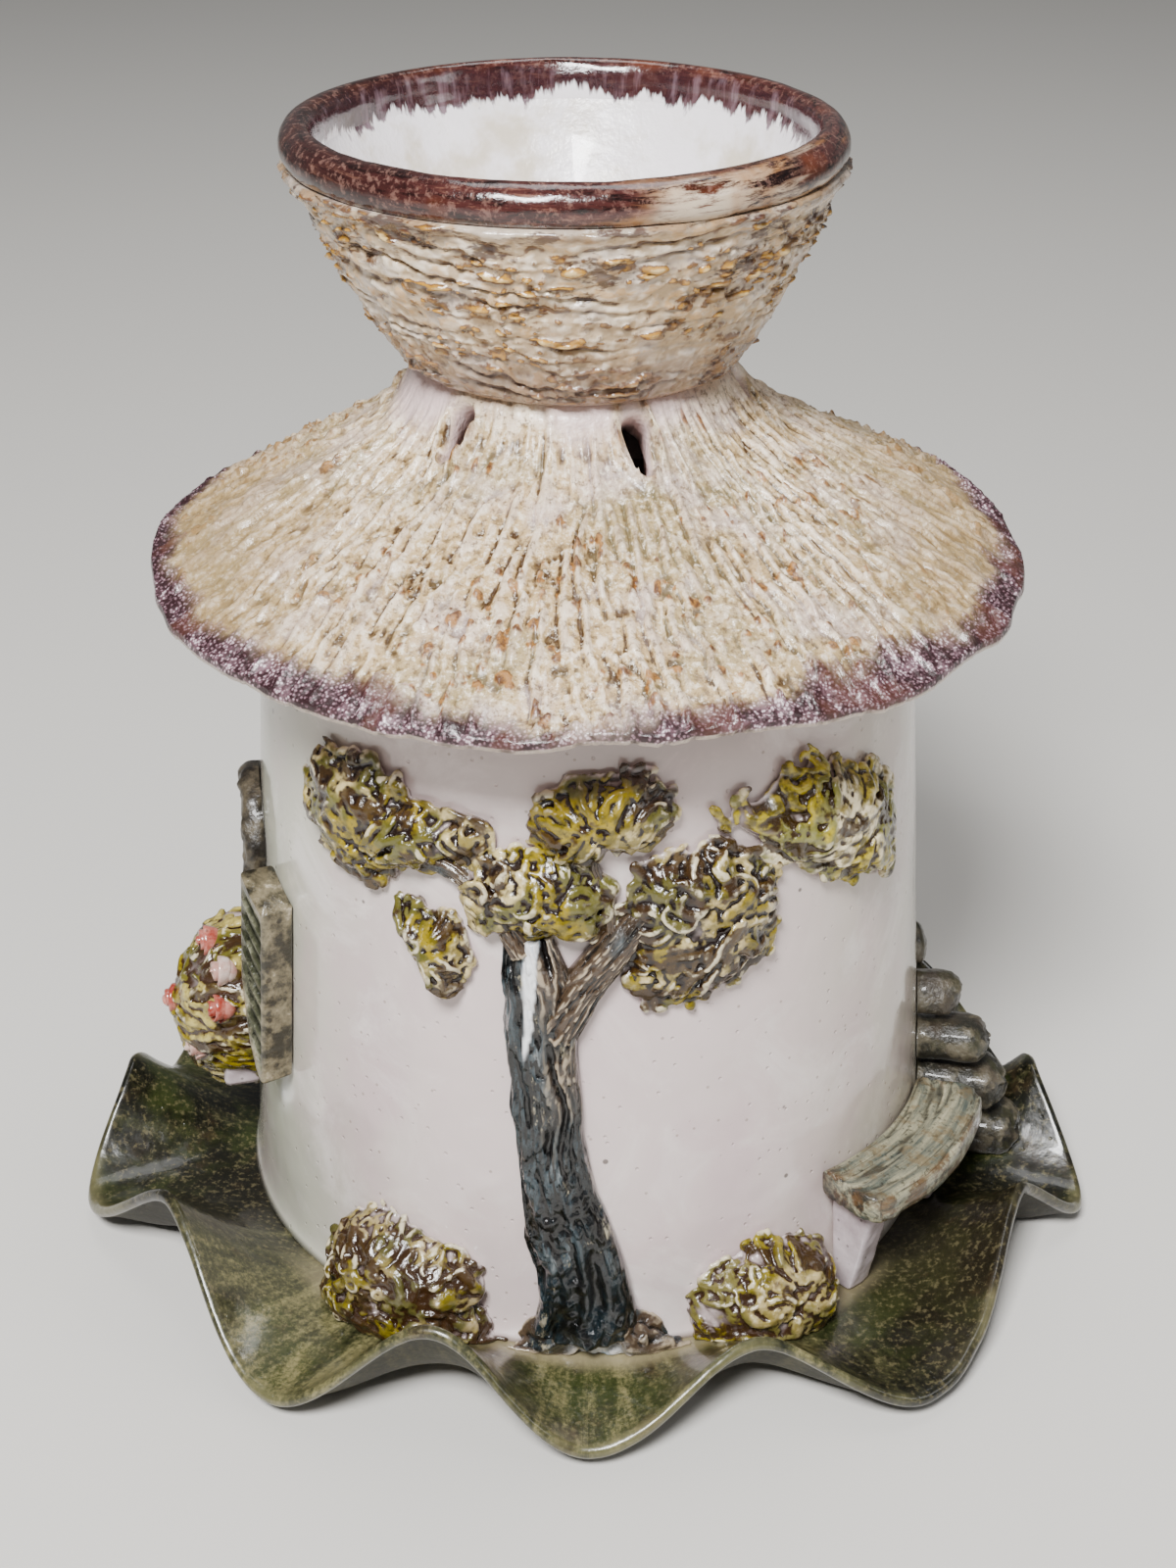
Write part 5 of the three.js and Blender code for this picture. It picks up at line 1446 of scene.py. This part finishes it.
# strands of clay pressed through a sieve, in bundles: the strands of a bundle start side by side,
# bend alike, fan out and thin towards their ends; bundles head outwards from the clump's middle, more
# or less, lie over each other and past its edge, and melt into one skin with the lump under them
def makeClump(name, look, seed):
    middle, outlineAt = outlineReach(look["outline"])
    thick, gap = look["thick"], 0.1

    def edgeAt(a):
        turn = a / (2 * np.pi)
        ragged = 0.19 * softNoise(turn * 11, 0, 0, seed + 6, 11)
        ragged = ragged + 0.14 * softNoise(turn * 27, 0, 0, seed + 7, 27)
        return outlineAt(a) * (0.95 + look["ragged"] * ragged)

    def lumpHeight(x, y):
        share = np.hypot(x, y) / edgeAt(np.arctan2(y, x))
        return look["reach"] - look["rounding"] * (1 - np.sqrt(1 - np.clip(share, 0, 1) ** 2)), share

    angle = circle(120)
    share = np.array([0.06, 0.18, 0.3, 0.4, 0.5, 0.58, 0.66, 0.73, 0.79, 0.85, 0.9, 0.94, 0.97])[:, None]
    x, y = share * edgeAt(angle) * np.cos(angle), share * edgeAt(angle) * np.sin(angle)
    top = lumpHeight(x, y)[0]
    lumpy = np.stack([x, y, 0 * x], -1)
    fall = smoothStep(share, 1.0, 0.8)
    reach = fall * (top - 2.0 + 1.8 * cloud(lumpy, 3.2, seed)) + 0.4
    base = lumpSkin(middle, x, y, np.maximum(reach, 0.4), gap)

    bundles, each, steps = look["bundles"], look["each"], 17
    bulk = rng.uniform(0.6, 1.3, bundles)
    a = rng.uniform(0, 2 * np.pi, bundles)
    s = np.sqrt(rng.uniform(0.0, 0.95, bundles))
    x0, y0 = s * edgeAt(a) * np.cos(a), s * edgeAt(a) * np.sin(a)
    heading = a + (2.6 - 1.6 * s) * softNoise(x0 / 5, y0 / 5, 0, seed + 1) + rng.normal(0, 0.45, bundles)
    aside = (np.arange(each) - (each - 1) / 2) * thick * bulk[:, None] * 1.7

    def spread(perBundle, perStrand):
        return (perBundle[:, None] + perStrand).ravel()

    jitter = rng.normal(0, 0.12, (3, bundles, each))
    x0, y0 = spread(x0, -np.sin(heading)[:, None] * aside), spread(y0, np.cos(heading)[:, None] * aside)
    heading = spread(heading, 0.12 * aside + jitter[0])
    length = spread(rng.uniform(5.5, 10.5, bundles) * look["long"], 6 * jitter[1])
    bend = spread(rng.normal(0, look["curl"], bundles), jitter[2])
    bulk = np.repeat(bulk, each)
    height = spread(rng.uniform(-look["deep"], 0.1, bundles), rng.uniform(-0.35, 0.15, (bundles, each)))
    if look["fringe"]:  # short parallel strips that hang from the lower edge
        start, end, strips, strip, direction = look["fringe"]
        line = np.linspace(0, 1, strips)[:, None]
        spot = (np.array(start) + (np.array(end) - start) * line - middle) * [mmPerDegree, 1]
        x0, y0 = np.append(x0, spot[:, 0]), np.append(y0, spot[:, 1])
        heading = np.append(heading, np.radians(direction) + rng.normal(0, 0.08, strips))
        length = np.append(length, rng.uniform(0.85, 1.15, strips) * strip)
        bend, height = np.append(bend, np.full(strips, 0.45)), np.append(height, np.full(strips, -0.4))
        bulk = np.append(bulk, np.full(strips, 0.9))
    count = len(x0)
    number = np.arange(count)[:, None]
    t = np.linspace(0, 1, steps)
    turn = heading[:, None] + bend[:, None] * (t - 0.5) * 2
    turn = turn + 0.5 * softNoise(t * 3, number * 2.3, 0, seed + 4)
    stride = np.maximum(length, 1.5)[:, None] / steps

    def walked(start, step):
        return start[:, None] + np.cumsum(step, 1) - 0.3 * step.sum(1, keepdims=True)

    x, y = walked(x0, np.cos(turn) * stride), walked(y0, np.sin(turn) * stride)
    inside, share = lumpHeight(x, y)
    over = look["over"] + rng.uniform(-0.12, 0.08, count)[:, None]
    pull = np.where(share > over, over / share, 1.0)
    x, y = x * pull, y * pull
    lift = height[:, None] + 0.6 * np.sin(np.pi * t) * rng.uniform(-0.4, 1.0, count)[:, None]
    radius = thick * (bulk * rng.uniform(0.8, 1.1, count))[:, None] * (1 - 0.55 * (2 * t - 1) ** 4)
    radius = radius * (1 + 0.25 * softNoise(t * 5, number * 3.7, 0, seed + 2))
    reach = np.maximum(inside + lift - radius, radius * 0.7)
    centre = onLump(middle, x, y, reach, gap)
    outward = outwardOf(centre)
    lean = rng.normal(0, 0.5, count)[:, None, None]
    flat = np.cross(np.gradient(centre, axis=1), outward)
    flat /= np.linalg.norm(flat, axis=-1, keepdims=True) + 1e-9
    sides = 10
    uneven = softNoise(t[:, None] * 6, np.arange(sides) / 2, number[..., None] * 3.7, seed + 5)
    rings = sweptBars(centre, outward + lean * flat, radius, radius * 0.6, 2.6, sides, 1 + 0.28 * uneven)
    rings = clearOfBrim(clearOfWall(rings, house["seam"] * 0.7))
    label = name.replace("foliage", "strands") if name.startswith("foliage") else "strands_" + name
    piece = newMesh(label, joined([base, barMesh(rings)]))
    fuse(piece, 0.28)
    settle(piece, "house", glaze[look["look"]], [name])
    points = pointsOf(piece)
    radius = np.hypot(points[:, 0], points[:, 1])
    height = points[:, 2] - house["floorTop"]
    top, share = lumpHeight((azimuthOf(points) - middle[0]) * mmPerDegree, height - middle[1])
    below = np.clip(top - (radius - wallRadius(height) - house["seam"]), 0, 3)
    close, wide = standing(piece, 4), standing(piece, 16)
    # crest: high on raised strands, low in creases and deep inside the clump; the leaf glazes paint shade
    # where it is low and highlights where it is highest
    setMask(piece, "crest", np.clip(0.56 + 2.2 * close + 0.9 * wide - 0.1 * below, 0, 1))
    setMask(piece, "hollow", smoothStep(below - 2.0 * close, 1.5, 2.6))
    film = smoothStep(wallRadius(height) - radius, -1.3, -0.8) * smoothStep(-np.abs(close), -0.12, -0.04)
    setMask(piece, "skirt", smoothStep(share, 0.86, 0.96) * film)


for number, (name, look) in enumerate(clumps.items()):
    makeClump(name, look, 200 + 17 * number)
print("clumps ready")


# roots
roots = dict(outline=[[-13.5, -3], [-12.5, 4.5], [-6.5, 9], [2, 10], [9, 8.5], [14, 5], [14.5, -3], [0, -5]],
             reach=4.4, rounding=1.2, count=38, thick=2.0)


# low mound at the trunk's foot with roots that run down and sideways over it from the trunk
def makeRoots():
    middle, edgeAt = outlineReach(roots["outline"])
    gap = 0.05
    angle = circle(120)
    share = np.array([0.05, 0.18, 0.3, 0.42, 0.52, 0.6, 0.67, 0.73, 0.77, 0.8])[:, None]
    x, y = share * edgeAt(angle) * np.cos(angle), share * edgeAt(angle) * np.sin(angle)
    lumpy = np.stack([x, y, 0 * x], -1)
    low = roots["reach"] - roots["rounding"] * (1 - np.sqrt(1 - share ** 2)) + 0 * x
    reach = (low - 2.2 + 1.5 * cloud(lumpy, 2.6, 301)) * smoothStep(share, 0.85, 0.6)
    base = lumpSkin(middle, x, y, np.maximum(reach, 0.05), gap)

    count, steps = roots["count"], 24
    t = np.linspace(0, 1, steps)
    side = np.linspace(-1, 1, count) + rng.normal(0, 0.06, count)
    startX, startY = side * 6.0, 8.5 - 5 * np.abs(side) - middle[1]
    reachX = np.sign(side) * (3 + 10.5 * np.abs(side) ** 0.8) + rng.normal(0, 0.8, count)
    reachY = -2.5 - middle[1] + rng.uniform(-1, 3.5, count)
    wander = 1.5 * softNoise(t * 4, np.arange(count)[:, None] * 3.1, 0, 302)
    edge = rng.uniform(0.8, 1.0, count) * edgeAt(np.arctan2(reachY, reachX))
    within = np.minimum(1, edge / np.hypot(reachX, reachY))
    reachX, reachY = reachX * within, reachY * within
    x = startX[:, None] + (reachX - startX)[:, None] * t + wander
    y = startY[:, None] + (reachY - startY)[:, None] * t ** 0.8 + wander
    pull = np.minimum(1, edgeAt(np.arctan2(y, x)) / np.hypot(x, y))
    x, y = x * pull, y * pull
    radius = roots["thick"] * rng.uniform(0.4, 1.0, count)[:, None] * (1 - 0.5 * t)
    radius = radius * (1 + 0.25 * softNoise(t * 6, np.arange(count)[:, None] * 5.3, 0, 303))
    lift = roots["reach"] - rng.uniform(0.0, 1.6, count)[:, None] - radius - 1.2 * t
    centre = onLump(middle, x, y, np.maximum(lift, radius * 0.8), gap)
    rings = sweptBars(centre, outwardOf(centre) + [0, 0, 0.6], radius, radius * 0.8, 2.2, 10)
    rings = clearOfBrim(clearOfWall(rings, house["seam"]), gap)
    piece = newMesh("bark_roots", joined([base, barMesh(rings)]))
    fuse(piece, 0.26)
    settle(piece, "house", glaze["bark"], ["tree_roots"])
    points = pointsOf(piece)
    setMask(piece, "relief", np.clip(0.5 + 3.0 * standing(piece, 4) + 1.0 * standing(piece, 16), 0, 1))
    setMask(piece, "brown", 0.95 * smoothStep(cloud(points, 7, 304), -0.45, -0.15))
    pool = bell(azimuthOf(points), 1.5, 3.0) * smoothStep(cloud(points, 5, 305), -0.2, 0.1)
    white = smoothStep(cloud(points, 3.0, 307), 0.45, 0.6) * 0.5
    setMask(piece, "pale", np.maximum(pool * smoothStep(-points[:, 2], -11, -8), white))
    below = smoothStep(-np.abs(azimuthOf(points) + 0.5), -7.5, -4)
    setMask(piece, "teal", below * smoothStep(points[:, 2], 9, 12))
    setFlow(piece, points.T * 0.35)


makeRoots()
print("roots ready")


# bars and slabs of clay on the wall

# rounded box as a loop of (across, up) points, each side with its own number of points: corners move in
# to the rounding's middles and out again by its radius; unit is the same loop on a square of half side 1
def boxLoop(halfAcross, halfUp, rounding, acrossCount, upCount):
    a, b = (np.linspace(-1, 1, count, endpoint=False) for count in (acrossCount, upCount))
    sides = [(a, -1.0), (1.0, b), (-a, 1.0), (-1.0, -b)]
    unit = np.concatenate([np.stack(np.broadcast_arrays(*side), -1) for side in sides])
    x, y = unit[:, 0] * halfAcross, unit[:, 1] * halfUp
    inX = np.clip(x, -(halfAcross - rounding), halfAcross - rounding)
    inY = np.clip(y, -(halfUp - rounding), halfUp - rounding)
    dx, dy = x - inX, y - inY
    far = np.maximum(np.hypot(dx, dy), 1e-9)
    return inX + dx / far * np.minimum(far, rounding), inY + dy / far * np.minimum(far, rounding), unit


bench = dict(nearEnd=40.6, farEnd=76, reach=13.6, nearHeight=25, farHeight=21, thickness=5.6, corner=4,
             legs=(dict(near=42.3, width=5, top=10, foot=5), dict(near=67.5, width=4, top=9, foot=5)))


# seat of one plank with lengthwise grooves, its ends rounded outwards
def makeBench():
    steps = 190
    share = np.linspace(0, 1, steps)[:, None]
    azimuth = bench["nearEnd"] + (bench["farEnd"] - bench["nearEnd"]) * share
    travelled = share * (bench["farEnd"] - bench["nearEnd"]) * mmPerDegree
    short = np.maximum(0, bench["corner"] - np.minimum(travelled, travelled[-1] - travelled))
    far = bench["reach"] - bench["corner"] + np.sqrt(bench["corner"] ** 2 - short ** 2)
    far = far + 0.35 * softNoise(travelled / 6, 0, 0, 401) - 0.2
    near = house["seam"]
    half = (far - near) / 2
    across, up, unit = boxLoop(half, bench["thickness"] / 2 - 0.25, 1.3, 34, 9)
    plank = fractal((across + half) / 1.9, travelled / 22, 0, 402, None, 3)
    groove = 1 - np.clip(np.abs(plank) * 3.2, 0, 1)
    outside = smoothStep(unit[:, 0], -0.98, -0.9)
    chip = 0.35 * cloud(np.stack(np.broadcast_arrays(travelled, across, up), -1), 4.5, 403)
    wear = outside * (0.55 * groove - 0.25 + chip * 0.6)
    up = up - np.sign(unit[:, 1]) * np.where(np.abs(unit[:, 1]) == 1, np.maximum(wear, -0.25), 0)
    across = across - np.where(unit[:, 0] == 1, np.maximum(wear, -0.2), 0)
    top = bench["nearHeight"] + (bench["farHeight"] - bench["nearHeight"]) * share
    points = onWall(azimuth, top - bench["thickness"] / 2 + up, near + half + across)
    piece = addPiece("grooved_bench", surface(points), "house", glaze["bench"], ["bench_seat"])
    ends = np.exp(-travelled / 2.2) + 0.6 * np.exp(-(travelled[-1] - travelled) / 2.0)
    # the underside face takes 0.8 of the mask: painted shade under the seat
    edge = smoothStep(unit[:, 0] + 0.25 * plank, 0.72, 1.0) + np.where(unit[:, 1] == -1, 0.8, 0)
    setMask(piece, "rustAndShade", np.clip(np.maximum(edge * 0.85, ends), 0, 1), [1, 1])
    setMask(piece, "groove", groove, [0.5, 0.5])
    setFlow(piece, (across * 0.55, travelled * 0.045, up * 0.55), 2)


# leg that leans outwards from its foot to the seat
def makeBenchLeg(name, leg):
    height = np.linspace(-1, 1, 40)[:, None]
    middle = leg["near"] + leg["width"] / 2
    share = (middle - bench["nearEnd"]) / (bench["farEnd"] - bench["nearEnd"])
    seat = bench["nearHeight"] + (bench["farHeight"] - bench["nearHeight"]) * share - bench["thickness"]
    z = (height + 1) / 2 * (seat - house["seam"] - 0.2)
    reach = leg["foot"] + (leg["top"] - leg["foot"]) * z / seat
    half = (reach - house["seam"]) / 2 - 0.15
    across, up, unit = boxLoop(half, leg["width"] / 2 * mmPerDegree - 0.15, 0.9, 12, 10)
    swell = 0.2 * fractal(unit[:, 0] * 1.5, unit[:, 1] * 1.5, z / 3, 411)
    azimuth = middle + (up * (1 + 0.04 * swell)) / mmPerDegree
    reach = house["seam"] + half + across + np.where(unit[:, 0] == 1, swell, 0)
    shape = surface(clearOfBrim(onWall(azimuth, z, reach), 0.3))
    addPiece(name.replace("bench_", "glazed_"), shape, "house", glaze["white"], [name])


makeBench()
for name, leg in zip(("bench_leg_front", "bench_leg_back"), bench["legs"]):
    makeBenchLeg(name, leg)
print("bench ready")


# door surround of rolled stones
stones = dict(width=9.6, rounding=3.4, lumps=0.9, squareness=0.74, overSteps=22,
              reaches=[20, 17, 14, 9, 3.2, 2.4, 2.2, 2.4, 3.2, 9, 14, 17, 20])


# stone as an outline that runs across the wall, rounded over towards its outer end, cut by wear
def makeStone(k, reach):
    lineRadius = door["halfWidth"] + stones["width"] / 2 + house["seam"]
    pathLength = 2 * door["spring"] + np.pi * lineRadius
    pitch = pathLength / len(stones["reaches"])
    rounding = min(stones["rounding"], reach - 1)

    def bulge(wave):
        return np.sign(wave) * np.abs(wave) ** stones["squareness"]

    def placeAt(travelled, outwards):
        turn = np.clip((travelled - door["spring"]) / lineRadius, 0, np.pi)
        leg = np.minimum(np.minimum(travelled, pathLength - travelled), door["spring"])
        radius = lineRadius + outwards
        height = leg + door["archRise"] * radius * np.sin(turn)
        return door["azimuth"] - radius * np.cos(turn) / mmPerDegree, height

    angle = circle(64)
    overSteps = stones["overSteps"]
    over = np.sin(np.linspace(0.06, np.pi / 2, overSteps))
    sideSteps = max(3, int((reach - rounding) / 0.7))
    share = np.concatenate([over, np.ones(sideSteps)])[:, None]
    outer = house["seam"] + reach - rounding * (1 - np.sqrt(np.clip(1 - share ** 2, 0, 1)))
    outer[overSteps:, 0] = np.linspace(outer[overSteps - 1, 0], house["seam"], sideSteps + 1)[1:]
    rough = fractal(angle / (2 * np.pi) * 9, outer / 2.6, 0, 420 + k, 9)
    swell = 0.35 * fractal(angle / (2 * np.pi) * 4, outer / 9, 0, 450 + k, 4)
    size = share * (0.94 + 0.05 * rough * share) + 0.03 * swell
    along = (k + 0.5) * pitch + bulge(np.sin(angle)) * (pitch / 2 - house["seam"]) * size
    azimuth, height = placeAt(along, bulge(np.cos(angle)) * stones["width"] / 2 * size)
    front = onWall(azimuth, height, np.maximum(outer - 0.5 + 0.5 * rough * (1 - share ** 6), house["seam"]))
    front = np.concatenate([front, onWall(azimuth[-1:], height[-1:], house["seam"])])
    lumps = cloud(front, 3.6, 460) + 0.6 * cloud(front, 1.4, 461)
    away = smoothStep(np.hypot(front[..., 0], front[..., 1]) - wallRadius(height[:1, :1]), 1.0, 3.5)
    wearAndFrontLight = (stones["lumps"] * (lumps - 0.6) * away)[..., None]
    front = clearOfWall(front + outwardOf(front) * wearAndFrontLight, house["seam"])
    number = k + 1
    shape = surface(clearOfBrim(front, house["seam"]))
    piece = addPiece(f"rolled_stone_{number}", shape, "house", glaze["stone"],
                     [f"door_stone_{number}"])
    setMask(piece, "relief", np.clip(0.5 + 2.2 * standing(piece, 5), 0, 1))


for k, reach in enumerate(stones["reaches"]):
    makeStone(k, reach)
print("stones ready")


# window: hood, shutters, box and roses
windowSet = dict(
    hood=dict(width=4.8, gap=0.8, reach=4.0, legs=4.0),
    shutter=dict(width=9.5, gap=16.5, reach=6.0, foot=34.5, top=68.0, topRise=3.5, footRise=20.0, slats=10),
    box=dict(half=9.3, foot=21.0, top=33.0, reach=7.0))


# half-round bar bent over the window in an arch, with short legs
def makeHood():
    hood = windowSet["hood"]
    half = hood["width"] / 2
    radius = window["halfWidth"] + hood["gap"] + half
    turn = np.linspace(0, np.pi, 9)
    azimuth = window["azimuth"] + radius * np.cos(turn) / mmPerDegree
    height = window["spring"] + window["archRise"] * radius * np.sin(turn)
    legEnd = window["spring"] - hood["legs"]
    arch = [[a, h, half] for a, h in zip(azimuth, height)]
    path = smoothPath([[azimuth[0], legEnd, half], *arch, [azimuth[-1], legEnd, half]], 120)
    angle = circle(36)
    travelled = np.linspace(0, 60, len(path))[:, None]
    rough = 1 + 0.16 * (fractal(angle / (2 * np.pi) * 7, travelled / 3, 0, 470, 7) - 0.6)
    side = (half - 0.1) * np.cos(angle) * rough
    reach = house["seam"] + (hood["reach"] - 0.2) * np.clip(np.sin(angle), 0, 1) ** 0.6 * rough
    shape = surface(onWall(*beside(path, side), reach))
    addPiece("clay_hood", shape, "house", glaze["hood"], ["window_hood"])


# louvred shutter: slanting slats on its outer face inside a plain border
def makeShutter(name, side):
    look = windowSet["shutter"]
    v = np.linspace(0, 1, 150)[:, None]
    half = look["width"] / 2 * mmPerDegree
    across, out, unit = boxLoop(half - 0.1, look["reach"] / 2 - 0.1, 0.7, 30, 10)
    share = (across / half + 1) / 2
    foot = look["foot"] + look["footRise"] * (1 - share) ** 2
    top = look["top"] + look["topRise"] * (1 - share)
    height = foot + 0.2 + (top - foot - 0.4) * v
    slat = height / (look["top"] - look["foot"]) * look["slats"] + 1.1 * share
    part = slat - np.floor(slat)
    outerFace = unit[:, 1] == 1
    inner = smoothStep(share, 0.08, 0.16) * smoothStep(-share, -0.92, -0.84)
    inner = inner * smoothStep(height - foot, 1.2, 2.2) * smoothStep(top - height, 1.2, 2.2)
    inner = inner * np.where(outerFace, 1, 0)
    rough = 0.12 * cloud(np.stack(np.broadcast_arrays(height, across, out), -1), 2.5, 480)
    depth = inner * (0.95 * (1 - part)) + rough
    # the narrow faces bear a few scratches
    scratch = 0.18 * np.maximum(0, softNoise(height / 1.6, out / 5, 0, 482))
    line = np.where(np.abs(unit[:, 0]) == 1, scratch, 0)
    reach = house["seam"] + look["reach"] / 2 + out - np.where(outerFace, np.maximum(depth, -0.1), 0)
    across = across + half - line * np.sign(across)
    azimuth = window["azimuth"] + side * (look["gap"] + across / mmPerDegree)
    shape = surface(onWall(azimuth, height, reach))
    label = name.replace("shutter_", "louvres_")
    piece = addPiece(label, shape, "house", glaze["shutter"], [name])
    setMask(piece, "slit", inner * smoothStep(-part, -0.3, -0.05), [0, 0])
    setMask(piece, "slats", inner, [0, 0])


# flower box with rounded edges, a little narrower at its top and foot
def makeBox():
    look = windowSet["box"]
    v = np.linspace(0, 1, 50)[:, None]
    across, out, unit = boxLoop(look["half"] * mmPerDegree - 0.1, look["reach"] / 2 - 0.15, 1.2, 30, 9)
    swell = fractal(unit[:, 0] * 3, v * 4, unit[:, 1], 490)
    end = smoothStep(v, 0, 0.08) * smoothStep(-v, -1, -0.92)
    shrink = 0.95 + 0.05 * end
    bulge = np.where(unit[:, 1] == 1, 0.12 * swell, 0)
    reach = house["seam"] + look["reach"] / 2 + out * shrink + bulge - 0.05
    height = look["foot"] + 0.2 + (look["top"] - look["foot"] - 0.4) * v
    azimuth = window["azimuth"] + across * shrink / mmPerDegree
    shape = surface(onWall(azimuth, height, np.maximum(reach, house["seam"])))
    addPiece("clay_flower_box", shape, "house", glaze["white"], ["flower_box"])


roses = dict(radius=3.0, turns=2.3, white=(1, 4),
             spots=[[-80, 48.5, 9], [-72.5, 47.5, 7.5], [-80, 37, 15], [-71, 41, 8.3], [-76, 30, 11.5]])


# ribbon of clay rolled up into a rose over a small ball
def makeRose(k, azimuth, height, reach):
    count = 90
    t = np.linspace(0, 1, count)
    turn = 2 * np.pi * roses["turns"] * t + k
    radius = 0.35 + (roses["radius"] - 0.85) * t ** 0.8 * (1 + 0.06 * softNoise(t * 14, 0, 0, 500 + k))
    out, across, up = axesAt(azimuth)
    middle = onWall(azimuth, height, reach)
    lift = 1.35 - 1.7 * t ** 1.6 + 0.25 * softNoise(t * 9, 0, 0, 520 + k)
    path = middle + across * (radius * np.cos(turn))[:, None] + up * (radius * np.sin(turn))[:, None]
    path = path + out * lift[:, None]
    flare = out + 0.35 * (across * np.cos(turn)[:, None] + up * np.sin(turn)[:, None]) * t[:, None]
    tall = 1.15 + 0.25 * softNoise(t * 8, 0, 0, 540 + k)
    thin = 0.34 * (1 - 0.5 * np.abs(2 * t - 1) ** 8)
    ribbon = barMesh(sweptBars(path[None], flare[None], thin[None], tall[None], 2.6, 12))
    polarTurn = np.linspace(0.05, np.pi - 0.05, 20)[:, None]
    around = circle(30)
    ball = roses["radius"] * 0.72
    side = ball * np.sin(polarTurn)
    core = middle + across * (side * np.cos(around))[..., None] + up * (side * np.sin(around))[..., None]
    core = core + out * (ball * np.cos(polarTurn) - 0.5)[..., None]
    look = "roseWhite" if k in roses["white"] else "rose"
    shape = joined([ribbon, surface(core)])
    addPiece(f"rolled_rose_{k + 1}", shape, "house", glaze[look], [f"rose_{k + 1}"])


makeHood()
makeShutter("shutter_near", 1)
makeShutter("shutter_far", -1)
makeBox()
for k, spot in enumerate(roses["spots"]):
    makeRose(k, *spot)
print("window ready")


# tea light
cup = dict(flutes=60, fluteDepth=0.16, sheet=0.28, bead=0.4, columns=480)


# drawn foil cup with fluted sides and a rolled bead round its mouth
def makeCup():
    low, high = (np.array(c, float) * 1000 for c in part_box("tea_light_cup"))
    middle, radius, height = (low + high) / 2, (high[0] - low[0]) / 2, high[2] - low[2]
    azimuth = ringOf(cup["columns"])
    wave = cup["fluteDepth"] * np.cos(np.radians(azimuth) * cup["flutes"])
    rows = []

    def row(r, z, share=0.0):
        ring = polar(azimuth, r + share * (wave - cup["fluteDepth"]), low[2] + z)
        rows.append(ring + [middle[0], middle[1], 0])

    for r in (1, radius * 0.4, radius * 0.8, radius - 1.6):
        row(r, 0.0)
    for turn in np.linspace(0.2, np.pi / 2, 5):
        row(radius - 1.6 + 1.6 * np.sin(turn), 1.6 - 1.6 * np.cos(turn), turn / 2)
    for share in np.linspace(0.05, 0.9, 14):
        row(radius, 1.6 + (height - 2.6) * share, 1.0 - smoothStep(share, 0.82, 0.9))
    bead = cup["bead"]
    for turn in np.linspace(-np.pi / 2, np.pi / 2, 7):
        row(radius - bead + bead * np.cos(turn), height - bead + bead * np.sin(turn))
    inner = radius - cup["sheet"] - 0.1
    for share in np.linspace(0.9, 0.08, 12):
        row(inner, 1.0 + (height - 2.0) * share, 0.6 - 0.6 * smoothStep(share, 0.82, 0.9))
    for r in (inner - 1.0, radius * 0.6, radius * 0.2):
        row(r, cup["sheet"])
    addPiece("fluted_cup", surface(np.stack(rows)), "tea_light", glaze["foil"], ["tea_light_cup"])


makeCup()
plainNodes = dict(tea_light_wax="wax", wick_tab="foil", wick="cotton", roof_locating_ring="white")
for name, look in plainNodes.items():
    for place in bpy.data.objects[name].material_slots:
        place.link, place.material = "OBJECT", glaze[look]
print("tea light ready")


# floor, light and camera

# square floor of one pale colour
def makeStage():
    mesh = bpy.data.meshes.new("floor")
    s = 3.0
    mesh.from_pydata([(-s, -s, 0), (s, -s, 0), (s, s, 0), (-s, s, 0)], [], [(0, 1, 2, 3)])
    plug("d9d7d3", newMaterial("floor_pale", 0.7, 0.0)["Base Color"])
    mesh.materials.append(inHand["material"])
    floor = newObject("floor", mesh)


# rectangular lamp turned to face an aim
def softbox(name, location, aim, size, power):
    light = bpy.data.lights.new(name, "AREA")
    light.shape, light.size, light.size_y, light.energy = "RECTANGLE", *size, power
    lamp = newObject(name, light)
    lamp.location = location
    direction = np.array(aim) - np.array(location)
    lamp.rotation_euler = mathutils.Vector(direction).to_track_quat("-Z", "Y").to_euler()


makeStage()
softbox("key", (-0.2, -0.7, 0.95), (0, 0, 0.08), (0.34, 0.26), 28)
softbox("side", (0.75, -0.35, 0.5), (0, 0, 0.1), (0.25, 0.3), 0.9)
softbox("top", (0.05, 0.25, 1.0), (0, 0, 0.12), (0.6, 0.4), 3.5)
world = bpy.data.worlds.new("studio")
world.use_nodes = True
world.node_tree.nodes["Background"].inputs[0].default_value = tone("d5d5d5")
world.node_tree.nodes["Background"].inputs[1].default_value = 0.26
bpy.context.scene.world = world

view = dict(place=(0.0, -0.3645, 0.2801), pitch=28.88, lens=53.46)
camera = newObject("camera", bpy.data.cameras.new("camera"))
camera.data.lens, camera.data.sensor_width = view["lens"], 36.0
camera.location = view["place"]
camera.rotation_euler = (np.radians(90 - view["pitch"]), 0, 0)
bpy.context.scene.camera = camera
